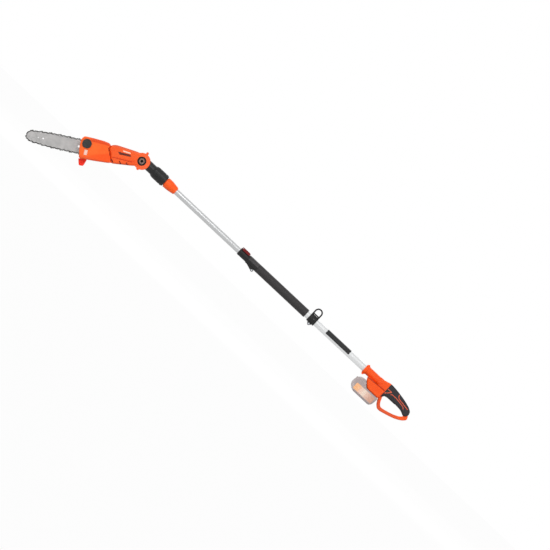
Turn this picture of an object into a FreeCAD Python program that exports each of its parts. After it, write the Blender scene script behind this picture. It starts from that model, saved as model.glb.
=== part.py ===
import FreeCAD, Part
import math
import os
from FreeCAD import Vector

# Telescoping battery pole saw, in millimetres.  X runs along the pole from the saw head to the
# handle, Z is up, and -Y is the side with the oil cap.  Sizes along the pole count from the hinge.

# ---- saw chain and guide bar ----
pitch = 9.525              # half of the distance between two drive links
drive_link_count = 36
sprocket_teeth = 8
bar_tip_x = -472.0
bar_axis_z = 4.0           # bar centre line above the hinge centre
bar_half_height = 25.2
bar_nose_radius = 18.0
bar_side_radius = 1100.0   # slow curve of the rails towards the nose
bar_thickness = 4.0
groove_width = 1.5
groove_depth = 7.4
bar_tail_chamfer = 9.0
rail_to_rivet = 2.7        # rivets run this far above the rail
tang_depth = 5.0           # drive link tang below the rail
link_thickness = 1.2
link_end = 2.5             # metal past a rivet's centre
strap_half_height = 2.5
strap_waist = 1.9          # the concave foot of a tie strap
cutter_rise = 4.4
cutter_set = 0.9           # a cutter stands out this far past the tie straps
rivet_radius = 1.7
rivet_head = 0.5
chain_y = 14.0             # plane of the bar, towards the sprocket cover
stud_x = -240.0
stud_radius = 4.0
stud_clearance = 0.2
slot_front_x = -264.0
slot_rear_x = -216.0
nose_sprocket_teeth = 7
nose_axle_radius = 3.0
chain_gap = 0.4            # between a sprocket and the feet of the drive links

# ---- saw head ----
head_tilt = 30.63          # angle between the head and the pole as it stands
boss_radius = 34.0
boss_half_width = 26.0
fork_gap = 19.6            # slot of the head that holds the tongue of the knuckle
tongue_width = 19.0
bolt_radius = 4.0
bolt_clearance = 0.05
bolt_head_radius = 11.8
socket_across_flats = 10.0
recess_radius = 18.4
recess_depth = 6.0
shell_wall = 2.5
rear_half_width = 29.0
front_near_y = -36.0       # outer face of the front housing
case_near_y = 3.0          # gear case, between the front housing and the chain
case_far_y = 8.6
cover_far_y = 30.0
seam_gap = 0.4
oil_cap_x = -229.0
oil_cap_z = 21.5
oil_cap_radius = 19.0
oil_cap_height = 5.0
oil_neck_radius = 12.0
window_x = -226.5
window_z = -14.0
window_length = 13.0
window_height = 21.0
bearing_radius = 11.0
washer_thickness = 1.5
nut_across_flats = 16.0
tension_screw_radius = 2.5
tension_screw_start = -251.0
tension_drop = 12.0        # tension screw below the bar axis

# ---- motor and gears ----
motor_radius = 18.5
motor_length = 54.0
motor_front_x = -112.0
motor_y = -6.0             # motor axis, towards the oil cap's side
motor_shaft_radius = 2.5
gear_teeth = 32
pinion_teeth = 8
gear_pitch_radius = 26.0
gear_face = 7.0
tooth_height = 2.2
gear_backlash = 0.8
output_shaft_radius = 5.0
shaft_clearance = 0.05

# ---- pole ----
hinge_drop = 5.0           # hinge centre below the pole's axis
neck_start = 30.0
neck_end = 58.0
neck_radius = 20.5
collar_end = 124.0
collar_radius = 25.0
spigot_radius = 18.0
ferrule_start = 127.0
ferrule_end = 182.0
ferrule_radius = 21.8
ferrule_neck_wall = 4.5      # plastic around the inner tube
ferrule_flange_height = 3.0
tube_wall = 1.5
inner_tube_radius = 12.5
inner_tube_start = 132.0
inner_tube_end = 762.0
slide_clearance = 0.8      # between the two tubes
fit_clearance = 0.05       # of the bushes that guide them
outer_tube_start = 566.0
outer_tube_end = 1300.0
bush_length = 18.0
lock_start = 529.0
lock_end = 632.0
lock_wall = 1.5
lock_rear_wall = 3.2
lock_step_x = 576.0
collet_wall = 1.8
lever_end = 573.0
lever_rise = 6.8           # top of the lever above the clamp housing
lever_pivot_x = 534.5
ear_inset = 6.8            # inner face of an ear inside the radius of the clamp housing
ear_thickness = 2.8
cheek_thickness = 3.0
lever_gap = 0.3
lever_cheek_z = 11.5       # lower edge of the lever beside the housing
lever_barrel_radius = 3.9
ear_radius = 3.4
lever_pin_radius = 2.0
clamp_screw_x = 618.0
clamp_screw_z = -23.0
clamp_boss_radius = 6.0
clamp_boss_length = 22.0
clamp_screw_radius = 2.0
foam_end = 897.0
foam_thickness = 3.2
strap_start = 912.0
strap_end = 948.0
strap_thickness = 4.2
hoop_width = 36.0
hoop_top = 53.0
hoop_wire = 3.1
hoop_base = 24.0

# ---- handle and battery ----
housing_start = 1216.0
flange_length = 16.0
flange_height = 3.5
barrel_wall = 2.2
barrel_rise = 1.4
handle_half_width = 17.0
handle_wall = 2.6
loop_half_width = 9.0
grip_start = 1338.0
grip_skin_depth = 2.0
pack_half_width = 37.0
pack_bottom_z = -98.0
pack_split_z = -60.0
rail_top_z = -42.0
rail_clearance = 0.3
cell_radius = 9.1
cell_length = 65.0
cell_room_start = 1224.5
cell_room_end = 1324.5
pack_wall = 2.6
lock_button_radius = 5.0
lock_button_x = 1344.5
lock_button_z = -7.0
trigger_pivot_x = 1418.0
trigger_pivot_z = -12.3
trigger_half_width = 7.0
trigger_pin_radius = 2.0
spring_wire = 1.1
switch_start = 1354.0
switch_end = 1386.0
switch_half_width = 8.0
switch_bottom_z = -4.5
switch_top_z = 9.0
plunger_x = 1372.0
plunger_width = 4.0
plunger_start_z = -11.8
terminal_start = 1304.0
terminal_end = 1330.0
terminal_half_width = 14.0
terminal_rise = 3.2        # terminal block above the top of the rail
terminal_height = 6.8
contact_pitch = 9.0
contact_thickness = 0.8
slot_clearance = 0.2
contact_drop = 4.5         # blades reach this far below the top of the rail
room_clearance = 0.5
latch_start = 1216.0
latch_end = 1223.0
latch_half_width = 12.0
latch_bottom_z = -52.0
latch_top_z = -42.0
latch_travel = 3.5
spring_turns = 3

# ---- places worked out from the sizes above ----
outer_tube_bore = inner_tube_radius + slide_clearance
outer_tube_radius = outer_tube_bore + tube_wall
sprocket_pitch_radius = pitch * 2 * sprocket_teeth / (2 * math.pi)
rail_rise = bar_half_height + rail_to_rivet
nose_run = math.sqrt((bar_half_height - bar_nose_radius)
                     * (2 * bar_side_radius - bar_nose_radius - bar_half_height))
nose_turn = math.asin(nose_run / (bar_side_radius - bar_nose_radius))
nose_x = bar_tip_x + bar_nose_radius
side_start_x = nose_x + nose_run
bar_tail_x = slot_rear_x + bar_tail_chamfer
shoulder_x = bar_tail_x - bar_tail_chamfer
tension_pin_x = slot_rear_x + 2.0
tension_z = bar_axis_z - tension_drop
tension_y = case_near_y + 3.0
motor_z = bar_axis_z
pinion_pitch_radius = gear_pitch_radius * pinion_teeth / gear_teeth
collet_radius = inner_tube_radius + collet_wall
lock_radius = collet_radius + lock_wall
lock_rear_radius = outer_tube_radius + lock_rear_wall
ear_inner_y = lock_radius - ear_inset
lever_top = lock_radius + lever_rise
lever_pivot_z = lever_top - lever_barrel_radius
lever_pin_reach = ear_inner_y + ear_thickness
ferrule_neck_radius = inner_tube_radius + ferrule_neck_wall
ferrule_tip_radius = ferrule_neck_radius + 0.2
ferrule_flange_radius = ferrule_neck_radius + ferrule_flange_height
foam_radius = outer_tube_radius + foam_thickness
strap_radius = outer_tube_radius + strap_thickness
barrel_radius = outer_tube_radius + barrel_wall
flange_radius = barrel_radius + flange_height
grip_room_depth = handle_half_width - grip_skin_depth - shell_wall
contact_places = (-contact_pitch, 0.0, contact_pitch)


def closing_sprocket_x():
    """Where the drive sprocket stands so that the chain closes on a whole number of links."""
    side = (bar_side_radius + rail_to_rivet) * nose_turn
    nose = (bar_nose_radius + rail_to_rivet) * (math.pi - 2 * nose_turn)
    fixed = 2 * side + nose + 2 * (shoulder_x - side_start_x) + math.pi * sprocket_pitch_radius
    slope = (drive_link_count * 2 * pitch - fixed) / 2
    climb = rail_rise - sprocket_pitch_radius
    return shoulder_x + math.sqrt(slope * slope - climb * climb)


sprocket_x = closing_sprocket_x()
eye = Vector((strap_start + strap_end) / 2, 0, (hoop_top - hoop_wire + hoop_base) / 2)
hinge = Vector(0, 0, -hinge_drop)
Y_AXIS = Vector(0, 1, 0)
shapes = {}


# ---- small helpers ----
def cylinder(radius, length, start, direction):
    return Part.makeCylinder(radius, length, Vector(*start), Vector(*direction))


def across(radius, y0, y1, x, z):
    """A cylinder along Y."""
    return cylinder(radius, y1 - y0, (x, y0, z), (0, 1, 0))


def along(radius, x0, x1, z=0.0, y=0.0):
    """A cylinder along X."""
    return cylinder(radius, x1 - x0, (x0, y, z), (1, 0, 0))


def block(x0, x1, y0, y1, z0, z1):
    return Part.makeBox(x1 - x0, y1 - y0, z1 - z0, Vector(x0, y0, z0))


def turned(profile):
    """A solid of revolution about the pole's axis, from (x, radius) points."""
    points = [Vector(x, 0, r) for x, r in profile]
    face = Part.Face(Part.makePolygon(points + points[:1]))
    return face.revolve(Vector(0, 0, 0), Vector(1, 0, 0), 360)


def plate(points, y0, y1):
    """A flat piece in the XZ plane, from its (x, z) outline."""
    corners = [Vector(x, y0, z) for x, z in points]
    return Part.Face(Part.makePolygon(corners + corners[:1])).extrude(Vector(0, y1 - y0, 0))


def smooth_face(points, y, soft):
    """A face in the XZ plane whose corners are rounded by arcs; soft is the share of each side used."""
    count = len(points)
    edges = []
    last = None
    for i, (x, z) in enumerate(points):
        corner = Vector(x, y, z)
        before = Vector(points[i - 1][0], y, points[i - 1][1])
        after = Vector(points[(i + 1) % count][0], y, points[(i + 1) % count][1])
        back = (before - corner).normalize()
        ahead = (after - corner).normalize()
        reach = soft * min((before - corner).Length, (after - corner).Length)
        a = corner + back * reach
        c = corner + ahead * reach
        half = back.getAngle(ahead) / 2
        radius = reach * math.tan(half)
        toward = (back + ahead).normalize()
        b = corner + toward * (radius / math.sin(half) - radius)
        if last is not None:
            edges.append(Part.makeLine(last, a))
        else:
            first = a
        edges.append(Part.Arc(a, b, c).toShape())
        last = c
    edges.append(Part.makeLine(last, first))
    return Part.Face(Part.Wire(edges))


def smooth_plate(points, y0, y1, soft=0.4):
    return smooth_face(points, y0, soft).extrude(Vector(0, y1 - y0, 0))


def rim_edges(solid, y, low=0.5):
    """The edges of a solid that lie in the plane at y."""
    found = []
    for edge in solid.Edges:
        box = edge.BoundBox
        if abs(box.YMin - y) < 1e-4 and abs(box.YMax - y) < 1e-4 and edge.Length > low:
            found.append(edge)
    return found


def one(shape):
    """The shape as a plain solid, without seams between faces of one surface."""
    return shape.removeSplitter()


def in_head(shape):
    """Carry a piece drawn along a straight head to the tilted head."""
    moved = shape.copy()
    moved.rotate(Vector(0, 0, 0), Y_AXIS, -head_tilt)
    moved.translate(hinge)
    return moved


def keep(name, shape):
    placed = shape.copy()
    placed.translate(eye * -1)
    shapes[name] = placed


def keep_head(name, shape):
    keep(name, in_head(shape))


# ---- guide bar and saw chain ----
def bar_face(inset, tail_inset, y):
    """Outline of the bar, or of its core when it is inset from the rails."""
    half = bar_half_height - inset
    side = bar_side_radius - inset
    nose = bar_nose_radius - inset
    tail = bar_tail_x - tail_inset
    chamfer = bar_tail_chamfer - tail_inset
    top_centre = Vector(side_start_x, y, bar_axis_z + half - side)
    nose_centre = Vector(nose_x, y, bar_axis_z)

    def on_side(turn):
        return top_centre + Vector(-math.sin(turn), 0, math.cos(turn)) * side

    def mirrored(point):
        return Vector(point.x, y, 2 * bar_axis_z - point.z)

    side_start = on_side(0)
    side_middle = on_side(nose_turn / 2)
    side_end = on_side(nose_turn)
    tip = nose_centre - Vector(nose, 0, 0)
    shoulder = Vector(tail - chamfer, y, bar_axis_z + half)
    corner = Vector(tail, y, bar_axis_z + half - chamfer)
    edges = [
        Part.makeLine(shoulder, side_start),
        Part.Arc(side_start, side_middle, side_end).toShape(),
        Part.Arc(side_end, tip, mirrored(side_end)).toShape(),
        Part.Arc(mirrored(side_end), mirrored(side_middle), mirrored(side_start)).toShape(),
        Part.makeLine(mirrored(side_start), mirrored(shoulder)),
        Part.makeLine(mirrored(shoulder), mirrored(corner)),
        Part.makeLine(mirrored(corner), corner),
        Part.makeLine(corner, shoulder),
    ]
    return Part.Face(Part.Wire(edges))


def slot_cut(x0, x1, radius, y0, y1):
    middle = block(x0 + radius, x1 - radius, y0, y1, bar_axis_z - radius, bar_axis_z + radius)
    ends = [across(radius, y0, y1, x, bar_axis_z) for x in (x0 + radius, x1 - radius)]
    return middle.fuse(ends)


def make_guide_bar():
    y0 = chain_y - bar_thickness / 2
    y1 = chain_y + bar_thickness / 2
    g0 = chain_y - groove_width / 2
    g1 = chain_y + groove_width / 2
    bar = bar_face(0, 0, y0).extrude(Vector(0, bar_thickness, 0))
    outer = bar_face(0, 0, g0).extrude(Vector(0, groove_width, 0))
    core = bar_face(groove_depth, 1.0, g0).extrude(Vector(0, groove_width, 0))
    pocket = across(nose_sprocket_radius() + chain_gap, g0, g1, nose_x, bar_axis_z)
    axle = across(nose_axle_radius, g0, g1, nose_x, bar_axis_z)
    bar = bar.cut(outer.cut(core).fuse(pocket).cut(axle))
    bar = bar.cut(slot_cut(slot_front_x, slot_rear_x, stud_radius + stud_clearance, y0, y1))
    for x, radius in ((nose_x + 28, 2.0), (nose_x + 48, 3.4)):
        bar = bar.cut(across(radius, y0, y1, x, bar_axis_z))
    for side in (-1, 1):
        z = bar_axis_z + side * 12
        bar = bar.cut(across(2.6, y0, y1, tension_pin_x, z))
    return one(bar)


def nose_sprocket_radius():
    """The sprocket turns just inside the tips of the drive links."""
    rivets = bar_nose_radius + rail_to_rivet
    return rivets * math.cos(pitch / 2 / rivets) - rail_to_rivet - tang_depth - chain_gap


def make_nose_sprocket():
    tip = nose_sprocket_radius()
    thickness = groove_width - 0.2
    points = []
    for i in range(nose_sprocket_teeth):
        for share, radius in ((-0.5, tip - 3), (-0.2, tip), (0.2, tip), (0.5, tip - 3)):
            turn = (i + share * 0.8) * 2 * math.pi / nose_sprocket_teeth
            points.append((nose_x + radius * math.cos(turn), bar_axis_z + radius * math.sin(turn)))
    wheel = plate(points, chain_y - thickness / 2, chain_y + thickness / 2)
    bore = across(nose_axle_radius + shaft_clearance, chain_y - 2, chain_y + 2, nose_x, bar_axis_z)
    return wheel.cut(bore)


def chain_route():
    """Stretches of the rivet line, anticlockwise from the top of the drive sprocket."""
    side = bar_side_radius + rail_to_rivet
    nose = bar_nose_radius + rail_to_rivet
    straight = shoulder_x - side_start_x
    climb = rail_rise - sprocket_pitch_radius
    slope = math.hypot(sprocket_x - shoulder_x, climb)
    lean = math.atan2(climb, sprocket_x - shoulder_x)
    top = bar_axis_z + rail_rise
    bottom = bar_axis_z - rail_rise
    low_centre = bar_axis_z - bar_half_height + bar_side_radius
    high_centre = bar_axis_z + bar_half_height - bar_side_radius
    half_turn = math.pi
    return [
        ("line", slope, sprocket_x, bar_axis_z + sprocket_pitch_radius, half_turn - lean, 0),
        ("line", straight, shoulder_x, top, half_turn, 0),
        ("arc", side * nose_turn, side_start_x, high_centre, half_turn / 2, side),
        ("arc", nose * (half_turn - 2 * nose_turn), nose_x, bar_axis_z, half_turn / 2 + nose_turn, nose),
        ("arc", side * nose_turn, side_start_x, low_centre, half_turn * 1.5 - nose_turn, side),
        ("line", straight, side_start_x, bottom, 0, 0),
        ("line", slope, shoulder_x, bottom, lean, 0),
        ("arc", sprocket_pitch_radius * half_turn, sprocket_x, bar_axis_z, half_turn * 1.5,
         sprocket_pitch_radius),
    ]


def rivet_place(distance, route):
    """The (x, z) point at this distance along the rivet line."""
    distance %= sum(stretch[1] for stretch in route)
    for kind, length, x, z, angle, radius in route:
        if distance <= length:
            if kind == "line":
                return x + distance * math.cos(angle), z + distance * math.sin(angle)
            turn = angle + distance / radius
            return x + radius * math.cos(turn), z + radius * math.sin(turn)
        distance -= length
    return rivet_place(0, route)


def link_map(distance, route):
    """A function from link coordinates (along, outward) to the head's (x, z)."""
    x1, z1 = rivet_place(distance - pitch / 2, route)
    x2, z2 = rivet_place(distance + pitch / 2, route)
    span = math.hypot(x2 - x1, z2 - z1)
    dx = (x2 - x1) / span
    dz = (z2 - z1) / span

    def place(u, w):
        return (x1 + x2) / 2 + u * dx + w * dz, (z1 + z2) / 2 + u * dz - w * dx

    return place


def link_plate(outline, place, y0, y1):
    return plate([place(u, w) for u, w in outline], y0, y1)


def drive_link_outline():
    end = pitch / 2 + link_end
    foot = rail_to_rivet + tang_depth
    right = [(end, -1.2), (end, 1.0), (end - 1.6, strap_half_height - 0.2), (2.0, 1.2)]
    left = [(-u, w) for u, w in reversed(right)]
    tang = [(-4.4, -rail_to_rivet), (-1.7, -foot), (1.7, -foot), (4.4, -rail_to_rivet)]
    return right + left + tang


def strap_outline():
    end = pitch / 2 + link_end
    top = strap_half_height
    right = [(2.0, -strap_waist), (pitch / 2, -top), (end, -1.2), (end, 1.0), (end - 1.6, top)]
    left = [(-u, w) for u, w in reversed(right)]
    return right + left


def cutter_outline():
    end = pitch / 2 + link_end
    low = strap_half_height
    tooth = [(-end - 0.4, 0.6), (-end - 0.6, cutter_rise - 0.7), (-0.6, cutter_rise), (0.6, 1.4)]
    gauge = [(2.6, 1.2), (3.4, cutter_rise - 0.6), (5.4, cutter_rise - 0.8), (end, 1.0)]
    foot = [(end, -1.2), (pitch / 2, -low), (2.0, -strap_waist), (-2.0, -strap_waist),
            (-pitch / 2, -low), (-end, -1.2)]
    return tooth + gauge + foot


def make_chain():
    """Drive links in the groove, and pairs of straps outside them; every fourth strap is a cutter."""
    route = chain_route()
    half = link_thickness / 2
    outer = half + link_thickness
    links = []
    straps = []
    cutters = []
    rivets = []
    for i in range(drive_link_count):
        place = link_map(i * 2 * pitch, route)
        links.append(link_plate(drive_link_outline(), place, chain_y - half, chain_y + half))
    for i in range(drive_link_count):
        place = link_map((i * 2 + 1) * pitch, route)
        for side in (-1, 1):
            y0, y1 = sorted((chain_y + side * half, chain_y + side * outer))
            if i % 4 == 1 + side:
                cutter = link_plate(cutter_outline(), place, y0, y1)
                roof = [(-8.0, cutter_rise - 1.2), (-8.0, cutter_rise - 0.2), (-0.4, cutter_rise + 0.4),
                        (-0.4, cutter_rise - 0.7)]
                y2, y3 = sorted((chain_y - side * 0.2, chain_y + side * (outer + cutter_set)))
                cutters.append(one(cutter.fuse(link_plate(roof, place, y2, y3))))
            else:
                straps.append(link_plate(strap_outline(), place, y0, y1))
            for end in (-1, 1):
                y4, y5 = sorted((chain_y + side * outer, chain_y + side * (outer + rivet_head)))
                head = []
                for k in range(6):
                    turn = k * math.pi / 3
                    u = end * pitch / 2 + rivet_radius * math.cos(turn)
                    head.append((u, rivet_radius * math.sin(turn)))
                rivets.append(link_plate(head, place, y4, y5))
    keep_head("drive_links", Part.makeCompound(links))
    keep_head("tie_straps", Part.makeCompound(straps))
    keep_head("cutters", Part.makeCompound(cutters))
    keep_head("chain_rivets", Part.makeCompound(rivets))


def make_drive_sprocket():
    """Spur sprocket whose teeth stand just inside the feet of the drive links, so that it turns freely."""
    seat = sprocket_pitch_radius * math.cos(pitch / 2 / sprocket_pitch_radius)
    tip = seat - rail_to_rivet - tang_depth - chain_gap
    root = tip - 4.0
    route = chain_route()
    links_on_wheel = [rivet_place(i * 2 * pitch, route) for i in range(drive_link_count)]
    x, z = max(links_on_wheel)
    first = math.atan2(z - bar_axis_z, x - sprocket_x) + math.pi / sprocket_teeth
    points = []
    for i in range(sprocket_teeth):
        centre = first + i * 2 * math.pi / sprocket_teeth
        for half_width, radius in ((-2.6, root), (-1.6, tip), (1.6, tip), (2.6, root)):
            turn = centre + half_width / radius
            points.append((sprocket_x + radius * math.cos(turn), bar_axis_z + radius * math.sin(turn)))
    wheel = plate(points, chain_y - 3.2, chain_y + 3.2)
    hub = across(10.0, chain_y + 3.2, chain_y + 5.0, sprocket_x, bar_axis_z)
    bore = across(output_shaft_radius, chain_y - 4, chain_y + 6, sprocket_x, bar_axis_z)
    return one(wheel.fuse(hub).cut(bore))



# ---- saw head ----
front_outline = [(-246, 49.0), (-200, 48.4), (-160, 46), (-142, 42.5), (-134, 35), (-140, 22), (-133, 8),
                 (-127, -8), (-120, -34.8), (-180, -39.4), (-212, -41), (-249, -42.5), (-252, -24),
                 (-256, 0), (-256, 32)]
rear_top = [(-134, 35), (-124, 39.5), (-112, 41.8), (-80, 39), (-40, 35), (-14, 31.5)]
rear_bottom = [(-12, -22), (-40, -26.5), (-60, -28.5), (-100, -33), (-120, -34.8), (-127, -8), (-133, 8),
               (-140, 22)]
rear_outline = rear_top + [(10, 24), (10, -18)] + rear_bottom
boss_lugs = [(15.5, 35.3), (-10.5, -32.8)]
rear_screws = [(-112, 31.5), (-48, 26.5), (-108, -25.0), (-48, -20.0)]
front_screws = [(-150, 36), (-148, -28), (-205, -33)]
seam_line = [(-134, 35), (-140, 22), (-133, 8), (-127, -8), (-120, -34.8)]
seam_notches = 7           # notches that roughen the rear edge of the front housing
seam_notch_top = 22.0
seam_notch_step = 5.0
seam_notch_height = 2.6
seam_notch_depth = 6.5
rear_groove = [(-121, -8.5), (-38, -11.5), (-38, -13.3), (-121, -10.3)]
groove_floor = 1.6
hook_outline = [(-251, -42.7), (-245, -65), (-242, -69.5), (-228.5, -69.5), (-224.5, -65),
                (-216.5, -41.3)]
hook_panel = [(-243, -47), (-239, -64), (-230.5, -64), (-225, -47)]
hook_near_y = -13.0
hook_far_y = 8.0
hook_panel_depth = 2.5
lug_radius = 5.0
screw_radius = 1.9
screw_head_radius = 3.6
screw_boss_radius = 4.6


def shifted(points, dx, dz=0.0):
    return [(x + dx, z + dz) for x, z in points]


def inset_face(points, y, wall):
    return smooth_face(points, y, 0.4).makeOffset2D(-wall)


def inner_plate(points, wall, y0, y1):
    return inset_face(points, y0, wall).extrude(Vector(0, y1 - y0, 0))


def soft_plate(points, y0, y1, near_round, far_round):
    """A moulded slab whose near and far rims are eased by stepped slopes."""
    y_start = y0 + near_round
    y_stop = y1 - far_round
    body = smooth_plate(points, y_start, y_stop)
    steps = ((1.0, 0.0), (0.55, 0.12), (0.2, 0.45), (0.0, 1.0))
    for face_y, edge_y, size in ((y0, y_start, near_round), (y1, y_stop, far_round)):
        if size == 0:
            continue
        wires = []
        for out, inset in steps:
            y = face_y + (edge_y - face_y) * out
            wires.append((y, inset * size * 0.8))
        for (ya, ia), (yb, ib) in zip(wires, wires[1:]):
            a = smooth_face(points, ya, 0.4) if ia == 0 else inset_face(points, ya, ia)
            b = inset_face(points, yb, ib)
            body = body.fuse(Part.makeLoft([a.OuterWire, b.OuterWire], True, True))
    return one(body)


def make_front_housing():
    """Near-side moulding over the oil tank and the gears, closed behind by the gear case."""
    shell = soft_plate(front_outline, front_near_y, case_near_y, 7.0, 0)
    hollow = inner_plate(front_outline, shell_wall, front_near_y + shell_wall + 4.5, case_near_y)
    shell = shell.cut(hollow)
    neck_hole = across(oil_neck_radius + 0.3, front_near_y - 1, 0, oil_cap_x, oil_cap_z)
    shell = shell.cut(neck_hole).cut(window_block(0.3, front_near_y - 1))
    shaft_hole = along(8.0, -145, -115, motor_z, motor_y)
    shell = shell.cut(shaft_hole)
    for i in range(seam_notches):
        z = seam_notch_top - i * seam_notch_step
        x = seam_x(z)
        shell = shell.cut(block(x - 3.5, x + 1.5, front_near_y - 1, front_near_y + seam_notch_depth,
                                z - seam_notch_height / 2, z + seam_notch_height / 2))
    for x, z in front_screws:
        boss = across(screw_boss_radius, front_near_y + 5, case_near_y, x, z)
        shell = shell.fuse(boss).cut(across(screw_radius, -14, case_near_y, x, z))
    return one(shell)


def seam_x(z):
    """Where the rear edge of the front housing runs at this height."""
    for (x0, z0), (x1, z1) in zip(seam_line, seam_line[1:]):
        if z1 <= z <= z0:
            return x0 + (x1 - x0) * (z0 - z) / (z0 - z1)
    return seam_line[0][0]


def window_block(gap, y0):
    x0 = window_x - window_length / 2 - gap
    z0 = window_z - window_height / 2 - gap
    x1 = window_x + window_length / 2 + gap
    z1 = window_z + window_height / 2 + gap
    return block(x0, x1, y0, front_near_y + 9, z0, z1)


def make_oil_tank():
    """Blow-moulded tank with a filler neck and a sight pad that shows through the housing."""
    outline = [(-243, 44), (-211, 43), (-211, -36), (-245, -37.5), (-248, -22), (-252, 0), (-252, 30)]
    near = front_near_y + shell_wall + 4.8
    far = case_near_y - 2.0
    tank = smooth_plate(outline, near, far)
    tank = tank.fuse(window_block(0, front_near_y + 0.6))
    neck = across(oil_neck_radius, front_near_y - 2.0, near + 2, oil_cap_x, oil_cap_z)
    tank = tank.fuse(neck)
    tank = tank.cut(inner_plate(outline, 1.8, near + 1.8, far - 1.8))
    return one(tank.cut(across(oil_neck_radius - 2.2, front_near_y - 3, near + 3, oil_cap_x, oil_cap_z)))


def make_oil_cap():
    """Screw cap with a gripped rim, a finger bar and a plug that seats in the neck."""
    rim_y = front_near_y - 0.3
    cap = across(oil_cap_radius, rim_y - oil_cap_height, rim_y, oil_cap_x, oil_cap_z)
    dish = across(oil_cap_radius - 3.5, rim_y - oil_cap_height - 1, rim_y - 3.4, oil_cap_x, oil_cap_z)
    cap = cap.cut(dish)
    bar = block(oil_cap_x - 15.0, oil_cap_x + 15.0, rim_y - oil_cap_height, rim_y - 3.0,
                oil_cap_z - 2.6, oil_cap_z + 2.6)
    bar.rotate(Vector(oil_cap_x, 0, oil_cap_z), Y_AXIS, 35)
    cap = cap.fuse(bar)
    neck_space = across(oil_neck_radius + 0.3, rim_y - 2.4, rim_y + 1, oil_cap_x, oil_cap_z)
    cap = cap.cut(neck_space)
    plug = across(oil_neck_radius - 2.5, rim_y - 2.6, rim_y + 6, oil_cap_x, oil_cap_z)
    cap = cap.fuse(plug)
    grips = 18
    for i in range(grips):
        turn = i * 2 * math.pi / grips
        x = oil_cap_x + (oil_cap_radius + 0.9) * math.cos(turn)
        z = oil_cap_z + (oil_cap_radius + 0.9) * math.sin(turn)
        cap = cap.cut(across(1.7, rim_y - oil_cap_height - 1, rim_y + 1, x, z))
    return one(cap)


def make_gear_case():
    """Die-cast plate between the gears and the chain; it carries the bar, the shaft and the tank."""
    case = smooth_plate(front_outline, case_near_y, case_far_y)
    case = case.fuse(across(14.0, -2.0, case_near_y, sprocket_x, bar_axis_z))
    pad_y = chain_y - bar_thickness / 2
    pad = block(slot_front_x + 12, shoulder_x, case_far_y, pad_y, bar_axis_z - 10, bar_axis_z + 10)
    lug = block(shoulder_x - 13, shoulder_x - 6, pad_y, pad_y + 3, bar_axis_z - stud_radius,
                bar_axis_z + stud_radius)
    case = case.fuse(pad).fuse(lug)
    case = case.cut(across(stud_radius, 0, pad_y + 1, stud_x, bar_axis_z))
    case = case.cut(across(bearing_radius, -3, case_far_y + 1, sprocket_x, bar_axis_z))
    case = case.cut(block(tension_pin_x - 9, tension_pin_x + 5, 0, pad_y + 1, bar_axis_z - 17,
                          bar_axis_z - 7))
    case = case.cut(along(tension_screw_radius, tension_screw_start, shoulder_x, tension_z, tension_y))
    for x, z in front_screws:
        case = case.cut(across(screw_radius, 0, case_far_y + 1, x, z))
    return one(case)


def make_sprocket_cover():
    """Far-side cover over the drive end of the chain, open at the front for the bar."""
    outline = front_outline
    cover = soft_plate(outline, case_far_y, cover_far_y, 0, 6.0)
    cover = cover.cut(inner_plate(outline, shell_wall, case_far_y, cover_far_y - shell_wall - 3.5))
    mouth = block(-262, -245, case_far_y, cover_far_y - 8.0, bar_axis_z - 36, bar_axis_z + 37)
    cover = cover.cut(mouth)
    bar_far = chain_y + bar_thickness / 2
    clamp = block(stud_x - 12, stud_x + 12, bar_far, cover_far_y - 3, bar_axis_z - 10, bar_axis_z + 10)
    cover = cover.fuse(clamp)
    for i in range(5):
        x = -196 + i * 11
        cover = cover.cut(block(x, x + 5, cover_far_y - 10, cover_far_y + 1, 12, 34))
    cover = cover.cut(across(stud_radius + 0.3, 0, cover_far_y + 1, stud_x, bar_axis_z))
    return one(cover.cut(across(12, cover_far_y - 2.0, cover_far_y + 1, stud_x, bar_axis_z)))


def hexagon(across_flats, y0, y1, x, z):
    reach = across_flats / math.sqrt(3)
    points = []
    for i in range(6):
        turn = math.radians(30 + 60 * i)
        points.append((x + reach * math.cos(turn), z + reach * math.sin(turn)))
    return plate(points, y0, y1)


def make_bar_nut():
    seat = cover_far_y - 2.0
    nut = hexagon(13.0, seat + 1.6, seat + 8.0, stud_x, bar_axis_z)
    nut = nut.fuse(across(10.5, seat, seat + 1.6, stud_x, bar_axis_z))
    return one(nut.cut(across(stud_radius, seat - 1, seat + 9, stud_x, bar_axis_z)))


def make_tension_pin():
    """Sliding block with the pin that sits in the bar's lower hole."""
    pad_y = chain_y - bar_thickness / 2
    body = block(tension_pin_x - 4, tension_pin_x + 4, case_near_y, pad_y - 0.2, tension_z - 4,
                 tension_z + 4)
    body = body.fuse(across(2.4, pad_y - 0.2, chain_y + 1.5, tension_pin_x, tension_z))
    return one(body.cut(along(tension_screw_radius, tension_pin_x - 5, tension_pin_x + 5, tension_z,
                              tension_y)))


def make_tension_screw():
    screw = along(tension_screw_radius, tension_screw_start, tension_pin_x + 5, tension_z, tension_y)
    slot = block(tension_screw_start, tension_screw_start + 1.4, 0, 20, tension_z - 0.5, tension_z + 0.5)
    return screw.cut(slot)


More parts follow.
